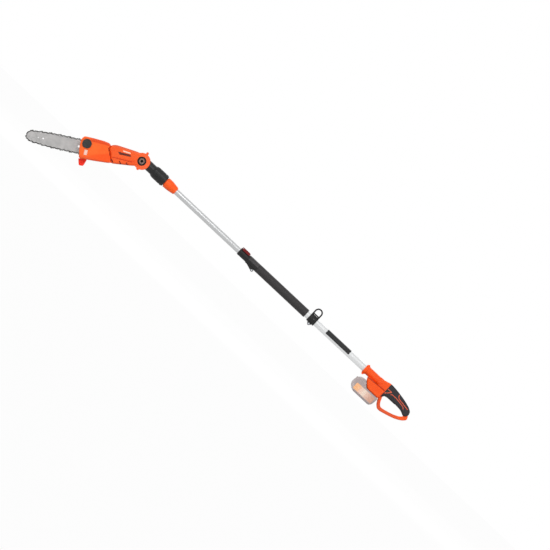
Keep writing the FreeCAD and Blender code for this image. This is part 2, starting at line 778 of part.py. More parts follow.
def make_rear_shells():
    body = soft_plate(shifted(rear_outline, seam_gap), -rear_half_width, rear_half_width, 9.0, 9.0)
    boss = across(boss_radius, -boss_half_width, boss_half_width, 0, 0)
    for x, z in boss_lugs:
        boss = boss.fuse(across(lug_radius, -boss_half_width + 3, boss_half_width - 3, x, z))
        web_outline = [(x - lug_radius, z), (x + lug_radius, z), (x * 0.5 + 5, z * 0.5),
                       (x * 0.5 - 5, z * 0.5)]
        web = plate(web_outline, -boss_half_width + 4, boss_half_width - 4)
        boss = boss.fuse(web)
    body = body.fuse(boss)
    hollow = inner_plate(rear_outline, shell_wall + 0.6, -rear_half_width + shell_wall + 5,
                         rear_half_width - shell_wall - 5)
    deep = rear_half_width - shell_wall - 0.5
    hollow = hollow.fuse(inner_plate(rear_outline, 9.5, -deep, deep))
    hollow = hollow.cut(block(-40, 40, -40, 40, -50, 50))
    for x in (motor_front_x + 8, motor_front_x + motor_length - 12):
        rib = block(x, x + 2.5, -40, 40, -50, 50)
        hollow = hollow.cut(rib.cut(along(motor_radius, x - 1, x + 4, motor_z, motor_y)))
    body = body.cut(hollow)
    body = body.cut(across(boss_radius - 2.0, -fork_gap / 2, fork_gap / 2, 0, 0))
    body = body.cut(block(0, 50, -fork_gap / 2, fork_gap / 2, -boss_radius - 1, 30))
    body = body.cut(across(recess_radius, -boss_half_width - 4, -boss_half_width + recess_depth, 0, 0))
    body = body.cut(across(bolt_radius, -40, 40, 0, 0))
    body = body.cut(along(8.0, -145, -115, motor_z, motor_y))
    body = body.cut(hexagon(nut_across_flats, boss_half_width - 9.0, boss_half_width + 4, 0, 0))
    body = body.cut(plate(rear_groove, -rear_half_width - 1, -rear_half_width + groove_floor))
    for x in (-116, -84, -56):
        slit = block(x - 2.2, x + 2.2, -40, -8, -31, -17)
        slit.rotate(Vector(x, 0, -24), Y_AXIS, -38)
        body = body.cut(slit)
    for x, z in rear_screws:
        body = body.fuse(across(screw_boss_radius, -21.6, 21.6, x, z))
        body = body.cut(across(screw_radius, -14, 22, x, z))
        body = body.cut(across(screw_head_radius, 14, 40, x, z))
    for x, z in boss_lugs:
        body = body.cut(across(screw_radius, -16, 40, x, z))
        body = body.cut(across(screw_head_radius - 0.4, boss_half_width - 6, 40, x, z))
    near = one(body.common(block(-200, 60, -60, 0, -80, 80)))
    far = one(body.common(block(-200, 60, 0, 60, -80, 80)))
    return near, far


def make_housing_screws():
    screws = []
    for x, z in rear_screws:
        shank = across(screw_radius, -14, 14, x, z)
        screws.append(one(shank.fuse(across(screw_head_radius - 0.2, 14, 16.4, x, z))))
    for x, z in boss_lugs:
        head_y = boss_half_width - 6
        shank = across(screw_radius, -16, head_y, x, z)
        screws.append(one(shank.fuse(across(screw_head_radius - 0.6, head_y, head_y + 2.2, x, z))))
    for x, z in front_screws:
        shank = across(screw_radius, -12, case_far_y, x, z)
        screws.append(one(shank.fuse(across(screw_head_radius - 0.2, case_far_y, case_far_y + 1.5, x, z))))
    return Part.makeCompound(screws)


def make_branch_hook():
    """Bumper that hooks over a branch; its flange lies against the floor of the front housing."""
    body = smooth_plate(hook_outline, hook_near_y, hook_far_y, 0.12)
    near_panel = plate(hook_panel, hook_near_y - 1, hook_near_y + hook_panel_depth)
    far_panel = plate(hook_panel, hook_far_y - hook_panel_depth, hook_far_y + 1)
    return one(body.cut(near_panel).cut(far_panel))


def make_pivot_bolt():
    """Hex-socket bolt through both forks; the knuckle turns on its shank."""
    seat = -boss_half_width + recess_depth - washer_thickness
    head = across(bolt_head_radius, seat - 4.5, seat, 0, 0)
    head = head.cut(hexagon(socket_across_flats, seat - 5, seat - 0.8, 0, 0))
    return one(head.fuse(across(bolt_radius, seat, boss_half_width - 1.0, 0, 0)))


def make_pivot_washer():
    seat = -boss_half_width + recess_depth
    ring = across(recess_radius - 0.4, seat - washer_thickness, seat, 0, 0)
    return ring.cut(across(bolt_radius, -60, 60, 0, 0))


def make_pivot_nut():
    y0 = boss_half_width - 9.0
    nut = hexagon(nut_across_flats - 0.4, y0, y0 + 7.5, 0, 0)
    return nut.cut(across(bolt_radius, 0, 60, 0, 0))


# ---- motor and gears ----
def bevel_teeth(count, pitch_radius, cone_axial, inner_share, height, thin):
    """Tapering teeth about the Z axis, on a cone whose apex is at the origin.

    The large end lies at height cone_axial, and each tooth shrinks towards the apex.
    """
    slant = math.hypot(pitch_radius, cone_axial)
    teeth = []
    half = math.pi * pitch_radius / count / 2 - thin / 2
    rim = Vector(pitch_radius, 0, cone_axial)
    outward = Vector(cone_axial, 0, -pitch_radius) * (1 / slant)
    for i in range(count):
        turn = i * 360 / count
        corners = []
        for rise, width in ((-height * 0.75, half * 1.45), (height * 0.45, half * 0.5)):
            for side in (-1, 1):
                corners.append(rim + outward * rise + Vector(0, side * width, 0))
        big = [corners[0], corners[1], corners[3], corners[2]]
        small = [c * inner_share for c in big]
        tooth = Part.makeLoft([Part.makePolygon(big + big[:1]), Part.makePolygon(small + small[:1])],
                              True, True)
        tooth.rotate(Vector(0, 0, 0), Vector(0, 0, 1), turn)
        teeth.append(tooth)
    return teeth


def bevel_wheel(count, pitch_radius, cone_axial, bore, back, phase):
    """A bevel gear with its apex at the origin, facing along -Z from its back."""
    slant = math.hypot(pitch_radius, cone_axial)
    share = 1 - gear_face / slant
    drop = tooth_height * 0.6
    out_r = cone_axial / slant * drop
    out_z = pitch_radius / slant * drop
    big_r = pitch_radius - out_r
    big_z = cone_axial + out_z
    profile = [(bore, big_z * share), (big_r * share, big_z * share), (big_r, big_z),
               (big_r, big_z + back), (bore, big_z + back)]
    points = [Vector(r, 0, z) for r, z in profile]
    blank = Part.Face(Part.makePolygon(points + points[:1])).revolve(
        Vector(0, 0, 0), Vector(0, 0, 1), 360)
    teeth = bevel_teeth(count, pitch_radius, cone_axial, share, tooth_height, gear_backlash)
    wheel = one(blank.fuse(teeth))
    wheel.rotate(Vector(0, 0, 0), Vector(0, 0, 1), phase)
    return wheel


def make_bevel_gear():
    """The large wheel, on the output shaft; its back faces the oil tank's side."""
    wheel = bevel_wheel(gear_teeth, gear_pitch_radius, pinion_pitch_radius, output_shaft_radius, 2.5, 0)
    wheel.rotate(Vector(0, 0, 0), Vector(1, 0, 0), 90)
    wheel.translate(Vector(sprocket_x, motor_y, motor_z))
    return wheel


def make_motor_pinion():
    phase = 180 / pinion_teeth
    pinion = bevel_wheel(pinion_teeth, pinion_pitch_radius, gear_pitch_radius, motor_shaft_radius, 1.5, phase)
    pinion.rotate(Vector(0, 0, 0), Vector(0, 1, 0), 90)
    pinion.translate(Vector(sprocket_x, motor_y, motor_z))
    return pinion


def make_motor_can():
    """Rolled steel can of the motor, with its front boss and rear bearing cup."""
    x0 = motor_front_x
    can = along(motor_radius, x0, x0 + motor_length, motor_z, motor_y)
    for x in (x0 - 3, x0 + motor_length):
        can = can.fuse(along(6.5, x, x + 3, motor_z, motor_y))
    can = can.cut(along(motor_radius - 1.8, x0 + 1.8, x0 + motor_length - 1.8, motor_z, motor_y))
    bore = motor_shaft_radius + shaft_clearance
    return one(can.cut(along(bore, x0 - 4, x0 + motor_length + 5, motor_z, motor_y)))


def make_rotor():
    """Armature, commutator and shaft, which turn in the can."""
    x0 = motor_front_x
    pinion_x = sprocket_x + gear_pitch_radius * 0.72
    rotor = along(motor_shaft_radius, pinion_x, x0 + motor_length + 3, motor_z, motor_y)
    rotor = rotor.fuse(along(motor_radius - 5.5, x0 + 10, x0 + motor_length - 20, motor_z, motor_y))
    return one(rotor.fuse(along(6.0, x0 + motor_length - 18, x0 + motor_length - 8, motor_z, motor_y)))


def make_shaft_bearing():
    ring = across(bearing_radius, case_near_y - 3.5, case_far_y - 0.6, sprocket_x, bar_axis_z)
    return ring.cut(across(output_shaft_radius + shaft_clearance, -20, 20, sprocket_x, bar_axis_z))


def make_output_shaft():
    gear_back = motor_y - pinion_pitch_radius - 4.0
    shaft = across(output_shaft_radius, gear_back, chain_y + 5, sprocket_x, bar_axis_z)
    clip_y = chain_y + 5.0
    clip = across(output_shaft_radius + 3, clip_y, clip_y + 1.0, sprocket_x, bar_axis_z)
    return one(shaft.fuse(clip))


# ---- pole ----
def make_knuckle():
    """Tongue between the forks of the head, round neck, and the spigot of the pole coupling."""
    tongue = across(boss_radius - 3.0, -tongue_width / 2, tongue_width / 2, 0, -hinge_drop)
    neck = along(neck_radius, 12, neck_end)
    cheek = across(boss_radius + 1.0, -40, 40, 0, -hinge_drop)
    cheek = cheek.cut(across(60, -tongue_width / 2, tongue_width / 2, 0, -hinge_drop))
    neck = neck.cut(cheek)
    body = tongue.fuse(neck).fuse(along(spigot_radius, neck_end, collar_end - 12))
    body = body.cut(along(9.0, neck_start + 6, collar_end))
    return one(body.cut(across(bolt_radius + bolt_clearance, -20, 20, 0, -hinge_drop)))


def make_coupling_collar():
    """Locking collar that turns on the spigot and holds the ferrule against it."""
    lip = collar_end - 6
    seat = collar_end - 12
    bore = spigot_radius + fit_clearance
    flange = ferrule_flange_radius + slide_clearance
    collar = turned([(neck_end + 0.3, bore), (neck_end + 0.3, neck_radius + 0.5),
                     (neck_end + 8, collar_radius), (seat - 2, collar_radius),
                     (seat + 1, collar_radius + 1.2), (lip - 1, collar_radius + 1.2),
                     (collar_end, collar_radius - 2.4), (collar_end, ferrule_neck_radius + 0.3),
                     (lip, ferrule_neck_radius + 0.3), (lip, flange), (seat, flange), (seat, bore)])
    return collar


def make_ferrule():
    """Moulded cone that carries the inner tube and is held by the collar."""
    seat = collar_end - 12 + 0.3
    lip = collar_end - 6 - 0.3
    x0 = ferrule_start
    x1 = ferrule_end
    cone = turned([(seat, 9.0), (seat, ferrule_flange_radius), (lip, ferrule_flange_radius),
                   (lip, ferrule_neck_radius), (x0, ferrule_neck_radius), (x0, ferrule_radius - 0.8),
                   (x0 + 0.8, ferrule_radius), (x0 + 22, ferrule_radius - 0.6),
                   (x1 - 12, ferrule_tip_radius + 0.8), (x1 - 4, ferrule_tip_radius - 0.6),
                   (x1, ferrule_tip_radius - 3.4), (x1, inner_tube_radius),
                   (inner_tube_start, inner_tube_radius), (inner_tube_start, 9.0)])
    return cone


def tube(outer, inner, x0, x1):
    return along(outer, x0, x1).cut(along(inner, x0 - 1, x1 + 1))


def make_lock_housing():
    """Clamp housing on the front of the outer tube; the inner tube slides through its collet."""
    front = along(lock_radius, lock_start, lock_step_x)
    rear = along(lock_rear_radius, lock_step_x, lock_end)
    body = front.fuse(rear)
    for side in (-1, 1):
        y0, y1 = sorted((side * ear_inner_y, side * (ear_inner_y + ear_thickness)))
        stem = block(lever_pivot_x - ear_radius, lever_pivot_x + ear_radius, y0, y1, 8, lever_pivot_z)
        body = body.fuse(stem).fuse(across(ear_radius, y0, y1, lever_pivot_x, lever_pivot_z))
    rib_outline = [(lock_step_x - 12, -10), (clamp_screw_x - 8, clamp_screw_z - 3),
                   (clamp_screw_x, clamp_screw_z), (clamp_screw_x + 8, -10)]
    rib = plate(rib_outline, -clamp_boss_length / 2, clamp_boss_length / 2)
    boss = across(clamp_boss_radius, -clamp_boss_length / 2, clamp_boss_length / 2, clamp_screw_x,
                  clamp_screw_z)
    body = body.fuse(rib).fuse(boss)
    body = body.cut(along(outer_tube_radius, outer_tube_start, lock_end + 1))
    body = body.cut(along(collet_radius, lock_start + 8, outer_tube_start))
    body = body.cut(along(inner_tube_radius + slide_clearance, lock_start - 1, lock_start + 9))
    body = body.cut(across(lever_barrel_radius + lever_gap, -ear_inner_y, ear_inner_y, lever_pivot_x,
                           lever_pivot_z))
    body = body.cut(across(lever_pin_radius, -20, 20, lever_pivot_x, lever_pivot_z))
    body = body.cut(block(lock_step_x + 10, lock_end + 1, -0.8, 0.8, -40, -5))
    return one(body.cut(across(clamp_screw_radius, -20, 20, clamp_screw_x, clamp_screw_z)))


def make_lock_collet():
    ring = tube(collet_radius, inner_tube_radius + fit_clearance, lock_start + 8, outer_tube_start - 1)
    return ring.cut(block(lock_start, outer_tube_start, -0.8, 0.8, -20, 0))


def make_lock_lever():
    """Cam lever, lying flat on the housing while the pole is clamped."""
    side_y = ear_inner_y + ear_thickness + lever_gap + cheek_thickness
    outline = [(lever_pivot_x, lever_cheek_z), (lever_pivot_x, lever_top), (lever_end - 6, lever_top),
               (lever_end, lever_top - 2.6), (lever_end, lever_cheek_z + 3), (lever_end - 3, lever_cheek_z)]
    arm = smooth_plate(outline, -side_y, side_y, 0.25)
    lever = arm.fuse(across(lever_barrel_radius, -side_y, side_y, lever_pivot_x, lever_pivot_z))
    lever = lever.cut(along(lock_radius + lever_gap, lever_pivot_x, lever_end + 1))
    for side in (-1, 1):
        y0, y1 = sorted((side * (ear_inner_y - lever_gap), side * (ear_inner_y + ear_thickness + lever_gap)))
        lever = lever.cut(block(lever_pivot_x - 6, lever_pivot_x + ear_radius + 2.5, y0, y1, 5, 30))
    return one(lever.cut(across(lever_pin_radius + fit_clearance, -20, 20, lever_pivot_x, lever_pivot_z)))


def make_strap_clamp():
    """One-piece band around the outer tube, closed by a screw below, with a pad for the hoop."""
    band = turned([(strap_start, outer_tube_radius), (strap_start, strap_radius - 1),
                   (strap_start + 1, strap_radius), (strap_end - 1, strap_radius),
                   (strap_end, strap_radius - 1), (strap_end, outer_tube_radius)])
    pad = block(strap_start, strap_end, -9, 9, 12, hoop_base + 1)
    pad = pad.makeFillet(2.0, [e for e in pad.Edges if abs(e.BoundBox.ZMin - hoop_base - 1) < 1e-6])
    x = (strap_start + strap_end) / 2
    boss = across(clamp_boss_radius, -clamp_boss_length / 2, clamp_boss_length / 2, x, clamp_screw_z)
    neck = block(x - 9, x + 9, -clamp_boss_length / 2, clamp_boss_length / 2, clamp_screw_z, -12)
    body = band.fuse(pad).fuse(boss).fuse(neck).cut(along(outer_tube_radius, strap_start, strap_end))
    for z in (hoop_base - 3.5, hoop_base - 0.5):
        for side in (-1, 1):
            body = body.cut(block(strap_start + 7, strap_end - 7, side * 8 - 1, side * 8 + 1, z, z + 1.2))
    body = body.cut(block(strap_start - 1, strap_end + 1, -0.8, 0.8, -40, -5))
    body = body.cut(across(clamp_screw_radius, -20, 20, x, clamp_screw_z))
    return one(body.cut(make_strap_hoop()))


def make_strap_hoop():
    """Bent wire hoop for the carrying strap."""
    middle = (strap_start + strap_end) / 2
    bend = hoop_width / 2 - hoop_wire
    top = hoop_top - hoop_wire - bend
    left = middle - bend
    right = middle + bend
    path = Part.Wire([
        Part.makeLine(Vector(left, 0, hoop_base - 5), Vector(left, 0, top)),
        Part.Arc(Vector(left, 0, top), Vector(middle, 0, top + bend), Vector(right, 0, top)).toShape(),
        Part.makeLine(Vector(right, 0, top), Vector(right, 0, hoop_base - 5)),
    ])
    section = Part.Wire(Part.makeCircle(hoop_wire, Vector(left, 0, hoop_base - 5), Vector(0, 0, 1)))
    return path.makePipeShell([section], True, False)


def screw_and_nut(radius, length, x, z):
    """Pan-head screw along Y, head on the near side, and the nut on its far end."""
    half = length / 2
    screw = across(radius, -half, half + 3.5, x, z)
    screw = screw.fuse(across(radius * 1.9, -half - 2.4, -half, x, z))
    slot = block(x - radius * 1.2, x + radius * 1.2, -half - 3, -half - 1.4, z - 0.5, z + 0.5)
    nut = hexagon(radius * 3.4, half, half + 3.0, x, z).cut(across(radius, 0, half + 9, x, z))
    return one(screw.cut(slot)), nut


# ---- handle ----
grip_outline = [(1296, 17), (1318, 22), (1334, 26.8), (1348, 26.8), (1384, 22.8), (1424, 14.8),
                (1454, 5.5), (1469, -4), (1473, -20), (1465, -32), (1456, -34.5), (1446, -29),
                (1432, -25), (1400, -22.5), (1364, -23), (1350, -26.5), (1343, -38), (1296, -38)]
foot_outline = [(1246, -12), (1336, -12), (1337.5, -40), (1336, -52.6), (1277, -52.5), (1261, -39),
                (1250, -22)]
loop_outline = [(1332, -30), (1336, -53), (1348, -73), (1360, -84), (1374, -85), (1412, -75.5),
                (1444, -65), (1468, -51), (1481, -37), (1474, -22), (1462, -12), (1400, -10),
                (1350, -10)]
hand_hole = [(1345, -35), (1355, -58), (1366, -70.5), (1384, -68.5), (1424, -58), (1448, -47),
             (1460, -36), (1452, -33), (1440, -27), (1400, -18), (1364, -18), (1350, -26)]
battery_outline = [(1213, -70), (1216, -49), (1226, -35.5), (1238, -30.8), (1249, -30.8), (1257, -39),
                   (1272, -53), (1336, -53), (1337.5, -63), (1334, -86), (1325, pack_bottom_z),
                   (1238, pack_bottom_z), (1219, -84)]
handle_lugs = [(1223.0, 19.0), (1223.0, -20.4)]
handle_lug_radius = 4.4
grip_boss_reach = grip_room_depth + 0.5
foot_room_depth = 19.0
foot_boss_reach = foot_room_depth + 1.0
handle_screws = [(1320, 13, grip_boss_reach), (1288, -27, foot_boss_reach), (1264, -26, foot_boss_reach),
                 (1396, 8, grip_boss_reach), (1440, -8, grip_boss_reach), (1462, -24, grip_boss_reach)]
foot_half_width = 27.0


def handle_solid(skin):
    """The whole handle before it is split; skin is how far the grip lies under its soft cover."""
    grip = soft_plate(grip_outline, -handle_half_width, handle_half_width, 8.0, 8.0)
    if skin:
        inner = inner_plate(grip_outline, skin, -handle_half_width + skin, handle_half_width - skin)
        front = block(1200, grip_start, -60, 60, -90, 60)
        grip = grip.common(front).fuse(inner.cut(front))
    foot = soft_plate(foot_outline, -foot_half_width, foot_half_width, 7.0, 7.0)
    barrel = along(barrel_radius, housing_start + 4, 1306, barrel_rise)
    swell = along(barrel_radius + 1.5, 1290, 1306, barrel_rise)
    flange = turned([(housing_start, 0), (housing_start, flange_radius - 1),
                     (housing_start + 1.5, flange_radius),
                     (housing_start + flange_length - 5, flange_radius),
                     (housing_start + flange_length, flange_radius - 4), (housing_start + flange_length, 0)])
    body = grip.fuse(foot).fuse(barrel).fuse(swell).fuse(flange)
    for x, z in handle_lugs:
        body = body.fuse(across(handle_lug_radius, -9, 9, x, z))
    return body


def make_loop():
    ring = soft_plate(loop_outline, -loop_half_width, loop_half_width, 4.0, 4.0)
    hole = smooth_plate(hand_hole, -40, 40)
    return ring.cut(hole)


def make_handle_shells():
    body = handle_solid(grip_skin_depth).fuse(make_loop())
    tube_space = along(outer_tube_radius, housing_start - 1, outer_tube_end + 0.3)
    grip_room = inner_plate(grip_outline, handle_wall + grip_skin_depth + 1.0, -grip_room_depth,
                            grip_room_depth)
    grip_room = grip_room.cut(block(1200, outer_tube_end + 8, -60, 60, -90, 60))
    foot_room = block(1268, 1332, -foot_room_depth, foot_room_depth, rail_top_z + 3, -18)
    body = body.cut(grip_room).cut(foot_room).cut(tube_space)
    body = body.cut(rail_space(rail_clearance))
    body = body.cut(trigger_room()).cut(switch_room())
    body = body.cut(terminal_room())
    for y in contact_places:
        side = contact_thickness / 2 + slot_clearance
        body = body.cut(block(terminal_start + 1, terminal_end - 1, y - side, y + side, rail_top_z - 1,
                              rail_top_z + 4))
    body = body.cut(across(lock_button_radius + 0.3, -40, -9, lock_button_x, lock_button_z))
    for x, z, reach in handle_screws:
        body = body.fuse(across(screw_boss_radius, -reach, reach, x, z))
        body = body.cut(across(screw_radius, -9, 14, x, z)).cut(across(screw_head_radius, 8, 60, x, z))
    near = one(body.common(block(1200, 1500, -60, 0, -120, 80)))
    far = one(body.common(block(1200, 1500, 0, 60, -120, 80)))
    return near, far


def make_grip_skins():
    """Soft covers over the grip, one on each shell."""
    full = soft_plate(grip_outline, -handle_half_width, handle_half_width, 8.0, 8.0)
    inner = inner_plate(grip_outline, grip_skin_depth, -handle_half_width + grip_skin_depth,
                        handle_half_width - grip_skin_depth)
    skin = full.cut(inner).common(block(grip_start, 1500, -60, 60, -90, 60)).cut(make_loop())
    skin = skin.cut(trigger_room())
    skin = skin.cut(across(lock_button_radius + 0.3, -40, 0, lock_button_x, lock_button_z))
    for x, z, reach in handle_screws:
        skin = skin.cut(across(screw_head_radius, 8, 60, x, z))
    near = one(skin.common(block(1200, 1500, -60, 0, -120, 80)))
    far = one(skin.common(block(1200, 1500, 0, 60, -120, 80)))
    return near, far


def rail_space(gap):
    """The T-shaped rail of the battery, or the channel for it when gap is added."""
    x0 = 1262 if gap == 0 else 1230
    x1 = 1330 + gap
    stem = block(x0, x1, -13 - gap, 13 + gap, -54, rail_top_z)
    head = block(x0, x1, -18 - gap, 18 + gap, rail_top_z - 5 - gap, rail_top_z + gap)
    return stem.fuse(head)


def switch_room():
    side = switch_half_width + slot_clearance
    return block(switch_start - room_clearance, switch_end + room_clearance, -side, side,
                 switch_bottom_z - room_clearance, switch_top_z + room_clearance)


def terminal_room():
    side = terminal_half_width + slot_clearance
    floor_z = rail_top_z + terminal_rise
    return block(terminal_start - room_clearance, terminal_end + room_clearance, -side, side,
                 floor_z - slot_clearance, floor_z + terminal_height + room_clearance)


def trigger_room():
    """Space for the trigger at rest and squeezed."""
    side = trigger_half_width + 0.4
    return block(1347.5, 1403.5, -side, side, -40, -6).fuse(block(1400, 1427, -side, side, -18.5, -5))


def make_trigger():
    points = [(1348.5, -28), (1362, -24.6), (1402, -24.2), (1402, -16.5), (1424, -16.5),
              (1424, -8), (1412, -8), (1402, -11), (1350, -13)]
    body = smooth_plate(points, -trigger_half_width, trigger_half_width, 0.2)
    bore = trigger_pin_radius + fit_clearance
    return one(body.cut(across(bore, -20, 20, trigger_pivot_x, trigger_pivot_z)))


def make_trigger_spring():
    """Torsion spring around the trigger's pin, its fixed leg on the near shell."""
    start = trigger_half_width + 0.6
    stop = grip_room_depth - 1.2
    step = (stop - start - spring_wire) / (spring_turns - 1)
    inner = trigger_pin_radius + 0.1
    outer = inner + 1.5
    coils = []
    for i in range(spring_turns):
        y = start + i * step
        turn = across(outer, y, y + spring_wire, trigger_pivot_x, trigger_pivot_z)
        coils.append(turn.cut(across(inner, y, y + spring_wire, trigger_pivot_x, trigger_pivot_z)))
    low = trigger_pivot_z + outer - spring_wire
    high = trigger_pivot_z + outer
    link = block(trigger_pivot_x - 0.5, trigger_pivot_x + 0.5, start, stop, low, high)
    leg = block(trigger_pivot_x - 14, trigger_pivot_x, stop - spring_wire, stop, low, high)
    return one(link.fuse(coils).fuse(leg))


def make_lock_off_button():
    body = across(lock_button_radius, -19.0, -8.0, lock_button_x, lock_button_z)
    return body.makeChamfer(0.8, rim_edges(body, -19.0))


def make_battery():
    """Lower tub and upper half of the pack, hollow around the cells."""
    full = soft_plate(battery_outline, -pack_half_width, pack_half_width, 9.0, 9.0)
    full = full.fuse(rail_space(0))
    for y in contact_places:
        side = contact_thickness / 2 + room_clearance
        full = full.cut(block(terminal_start - 4, terminal_end + 2, y - side, y + side, rail_top_z - 6,
                              rail_top_z + 1))
    cell_side = cell_length / 2 + room_clearance
    room = block(cell_room_start, cell_room_end, -cell_side, cell_side, pack_bottom_z + pack_wall,
                 pack_split_z + 3)
    full = full.cut(room)
    side = latch_half_width + rail_clearance
    full = full.cut(block(1200, latch_end + latch_travel, -side, side, latch_bottom_z - rail_clearance,
                          latch_top_z + rail_clearance))
    lower = one(full.common(block(1200, 1350, -50, 50, -110, pack_split_z)))
    upper = one(full.common(block(1200, 1350, -50, 50, pack_split_z, 0)))
    return lower, upper


def make_cells():
    cells = []
    step = 2 * cell_radius + 0.6
    for row in range(2):
        for i in range(5):
            x = cell_room_start + room_clearance + cell_radius + i * (step + 0.8)
            z = pack_bottom_z + pack_wall + 0.3 + cell_radius + row * step
            cells.append(across(cell_radius, -cell_length / 2, cell_length / 2, x, z))
    return Part.makeCompound(cells)


def make_battery_button():
    button = block(latch_start, latch_end, -latch_half_width, latch_half_width, latch_bottom_z, latch_top_z)
    front = [edge for edge in button.Edges if edge.BoundBox.XMax < latch_start + 0.1]
    return button.makeFillet(1.2, front)


def make_terminal_block():
    floor_z = rail_top_z + terminal_rise
    body = block(terminal_start, terminal_end, -terminal_half_width, terminal_half_width, floor_z,
                 floor_z + terminal_height)
    half = contact_thickness / 2
    for y in contact_places:
        body = body.fuse(block(terminal_start + 2, terminal_end - 2, y - half, y + half,
                               rail_top_z - contact_drop, floor_z))
    return one(body)


def make_switch():
    body = block(switch_start, switch_end, -switch_half_width, switch_half_width, switch_bottom_z,
                 switch_top_z)
    half = plunger_width / 2 + 0.4
    well = block(plunger_x - half, plunger_x + half, -half, half, switch_bottom_z - 0.5,
                 switch_bottom_z + 6)
    return body.cut(across(1.5, -10, 10, switch_start + 6, 2)).cut(well)


def make_switch_plunger():
    half = plunger_width / 2
    neck_z = switch_bottom_z - 0.3
    body = block(plunger_x - half, plunger_x + half, -half, half, plunger_start_z, neck_z)
    half = half - 0.5
    return body.fuse(block(plunger_x - half, plunger_x + half, -half, half, neck_z, neck_z + 0.8))


def make_handle_screws():
    screws = []
    for x, z, reach in handle_screws:
        shank = across(screw_radius, -9, 8, x, z)
        screws.append(one(shank.fuse(across(screw_head_radius - 0.2, 8, 10.4, x, z))))
    return Part.makeCompound(screws)


keep_head("guide_bar", make_guide_bar())
keep_head("nose_sprocket", make_nose_sprocket())
make_chain()
keep_head("drive_sprocket", make_drive_sprocket())
keep_head("front_housing", make_front_housing())
keep_head("oil_tank", make_oil_tank())
keep_head("oil_cap", make_oil_cap())
keep_head("gear_case", make_gear_case())
keep_head("sprocket_cover", make_sprocket_cover())
keep_head("bar_nut", make_bar_nut())
keep_head("bar_stud", across(stud_radius, case_near_y + 1, cover_far_y + 8, stud_x, bar_axis_z))
keep_head("tension_pin", make_tension_pin())
keep_head("tension_screw", make_tension_screw())
near_shell, far_shell = make_rear_shells()
keep_head("motor_housing_near", near_shell)
keep_head("motor_housing_far", far_shell)
keep_head("head_screws", make_housing_screws())
keep_head("branch_hook", make_branch_hook())
keep_head("pivot_bolt", make_pivot_bolt())
keep_head("pivot_washer", make_pivot_washer())
keep_head("pivot_nut", make_pivot_nut())
keep_head("bevel_gear", make_bevel_gear())
keep_head("motor_pinion", make_motor_pinion())
keep_head("motor_can", make_motor_can())
keep_head("rotor", make_rotor())
keep_head("shaft_bearing", make_shaft_bearing())
keep_head("output_shaft", make_output_shaft())
keep("knuckle", make_knuckle())
keep("coupling_collar", make_coupling_collar())
keep("pole_ferrule", make_ferrule())
keep("inner_tube", tube(inner_tube_radius, inner_tube_radius - tube_wall, inner_tube_start, inner_tube_end))
keep("guide_bush", tube(outer_tube_bore - fit_clearance, inner_tube_radius, inner_tube_end - bush_length,
                        inner_tube_end))
keep("outer_tube", tube(outer_tube_radius, outer_tube_bore, outer_tube_start, outer_tube_end))
keep("lock_housing", make_lock_housing())
keep("lock_collet", make_lock_collet())
keep("lock_lever", make_lock_lever())
keep("lever_pin", across(lever_pin_radius, -lever_pin_reach, lever_pin_reach, lever_pivot_x, lever_pivot_z))
keep("foam_grip", tube(foam_radius, outer_tube_radius, lock_end, foam_end))
keep("strap_clamp", make_strap_clamp())
keep("strap_hoop", make_strap_hoop())
lock_screw, lock_nut = screw_and_nut(clamp_screw_radius, clamp_boss_length, clamp_screw_x, clamp_screw_z)
strap_screw, strap_nut = screw_and_nut(clamp_screw_radius, clamp_boss_length, eye.x, clamp_screw_z)
keep("clamp_screws", Part.makeCompound([lock_screw, strap_screw, lock_nut, strap_nut]))
near_shell, far_shell = make_handle_shells()
keep("handle_shell_near", near_shell)
keep("handle_shell_far", far_shell)
near_skin, far_skin = make_grip_skins()
keep("grip_skin_near", near_skin)
keep("grip_skin_far", far_skin)
keep("trigger", make_trigger())
keep("trigger_pin", across(trigger_pin_radius, -grip_room_depth, grip_room_depth, trigger_pivot_x,
                           trigger_pivot_z))
keep("trigger_spring", make_trigger_spring())
keep("lock_off_button", make_lock_off_button())
keep("switch", make_switch())
keep("switch_plunger", make_switch_plunger())
keep("terminal_block", make_terminal_block())
keep("handle_screws", make_handle_screws())
battery_lower, battery_upper = make_battery()
keep("battery_lower", battery_lower)
keep("battery_upper", battery_upper)
keep("battery_cells", make_cells())
keep("battery_button", make_battery_button())
os.makedirs("parts", exist_ok=True)
for name, shape in shapes.items():
    shape.exportStep("parts/" + name + ".step")
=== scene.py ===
import math

import bmesh
import bpy
from mathutils import Matrix, Vector


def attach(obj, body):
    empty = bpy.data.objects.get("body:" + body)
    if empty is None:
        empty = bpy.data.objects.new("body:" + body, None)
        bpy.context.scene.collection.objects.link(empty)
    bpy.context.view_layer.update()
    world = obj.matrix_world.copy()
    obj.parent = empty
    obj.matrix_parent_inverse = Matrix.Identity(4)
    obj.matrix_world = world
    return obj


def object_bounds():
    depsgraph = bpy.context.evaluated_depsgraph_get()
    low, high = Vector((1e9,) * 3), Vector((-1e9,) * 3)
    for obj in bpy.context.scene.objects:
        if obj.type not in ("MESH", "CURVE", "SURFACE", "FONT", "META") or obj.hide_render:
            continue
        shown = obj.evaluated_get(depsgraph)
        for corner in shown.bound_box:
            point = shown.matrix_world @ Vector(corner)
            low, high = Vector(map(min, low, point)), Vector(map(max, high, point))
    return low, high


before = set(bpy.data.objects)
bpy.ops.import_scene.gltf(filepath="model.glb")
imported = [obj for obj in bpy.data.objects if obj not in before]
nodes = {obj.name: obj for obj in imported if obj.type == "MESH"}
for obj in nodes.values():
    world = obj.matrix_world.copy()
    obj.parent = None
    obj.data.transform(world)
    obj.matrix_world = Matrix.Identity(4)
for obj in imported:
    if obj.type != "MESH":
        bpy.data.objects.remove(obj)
cad_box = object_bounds()

# ---------------------------------------------------------------- studio
# A white table under the saw and a white room around it, lit by three wide soft boxes.
# The camera looks at the near side, level with the pole and rolled so that the pole climbs.
scene = bpy.context.scene
scene.view_settings.view_transform = "Standard"


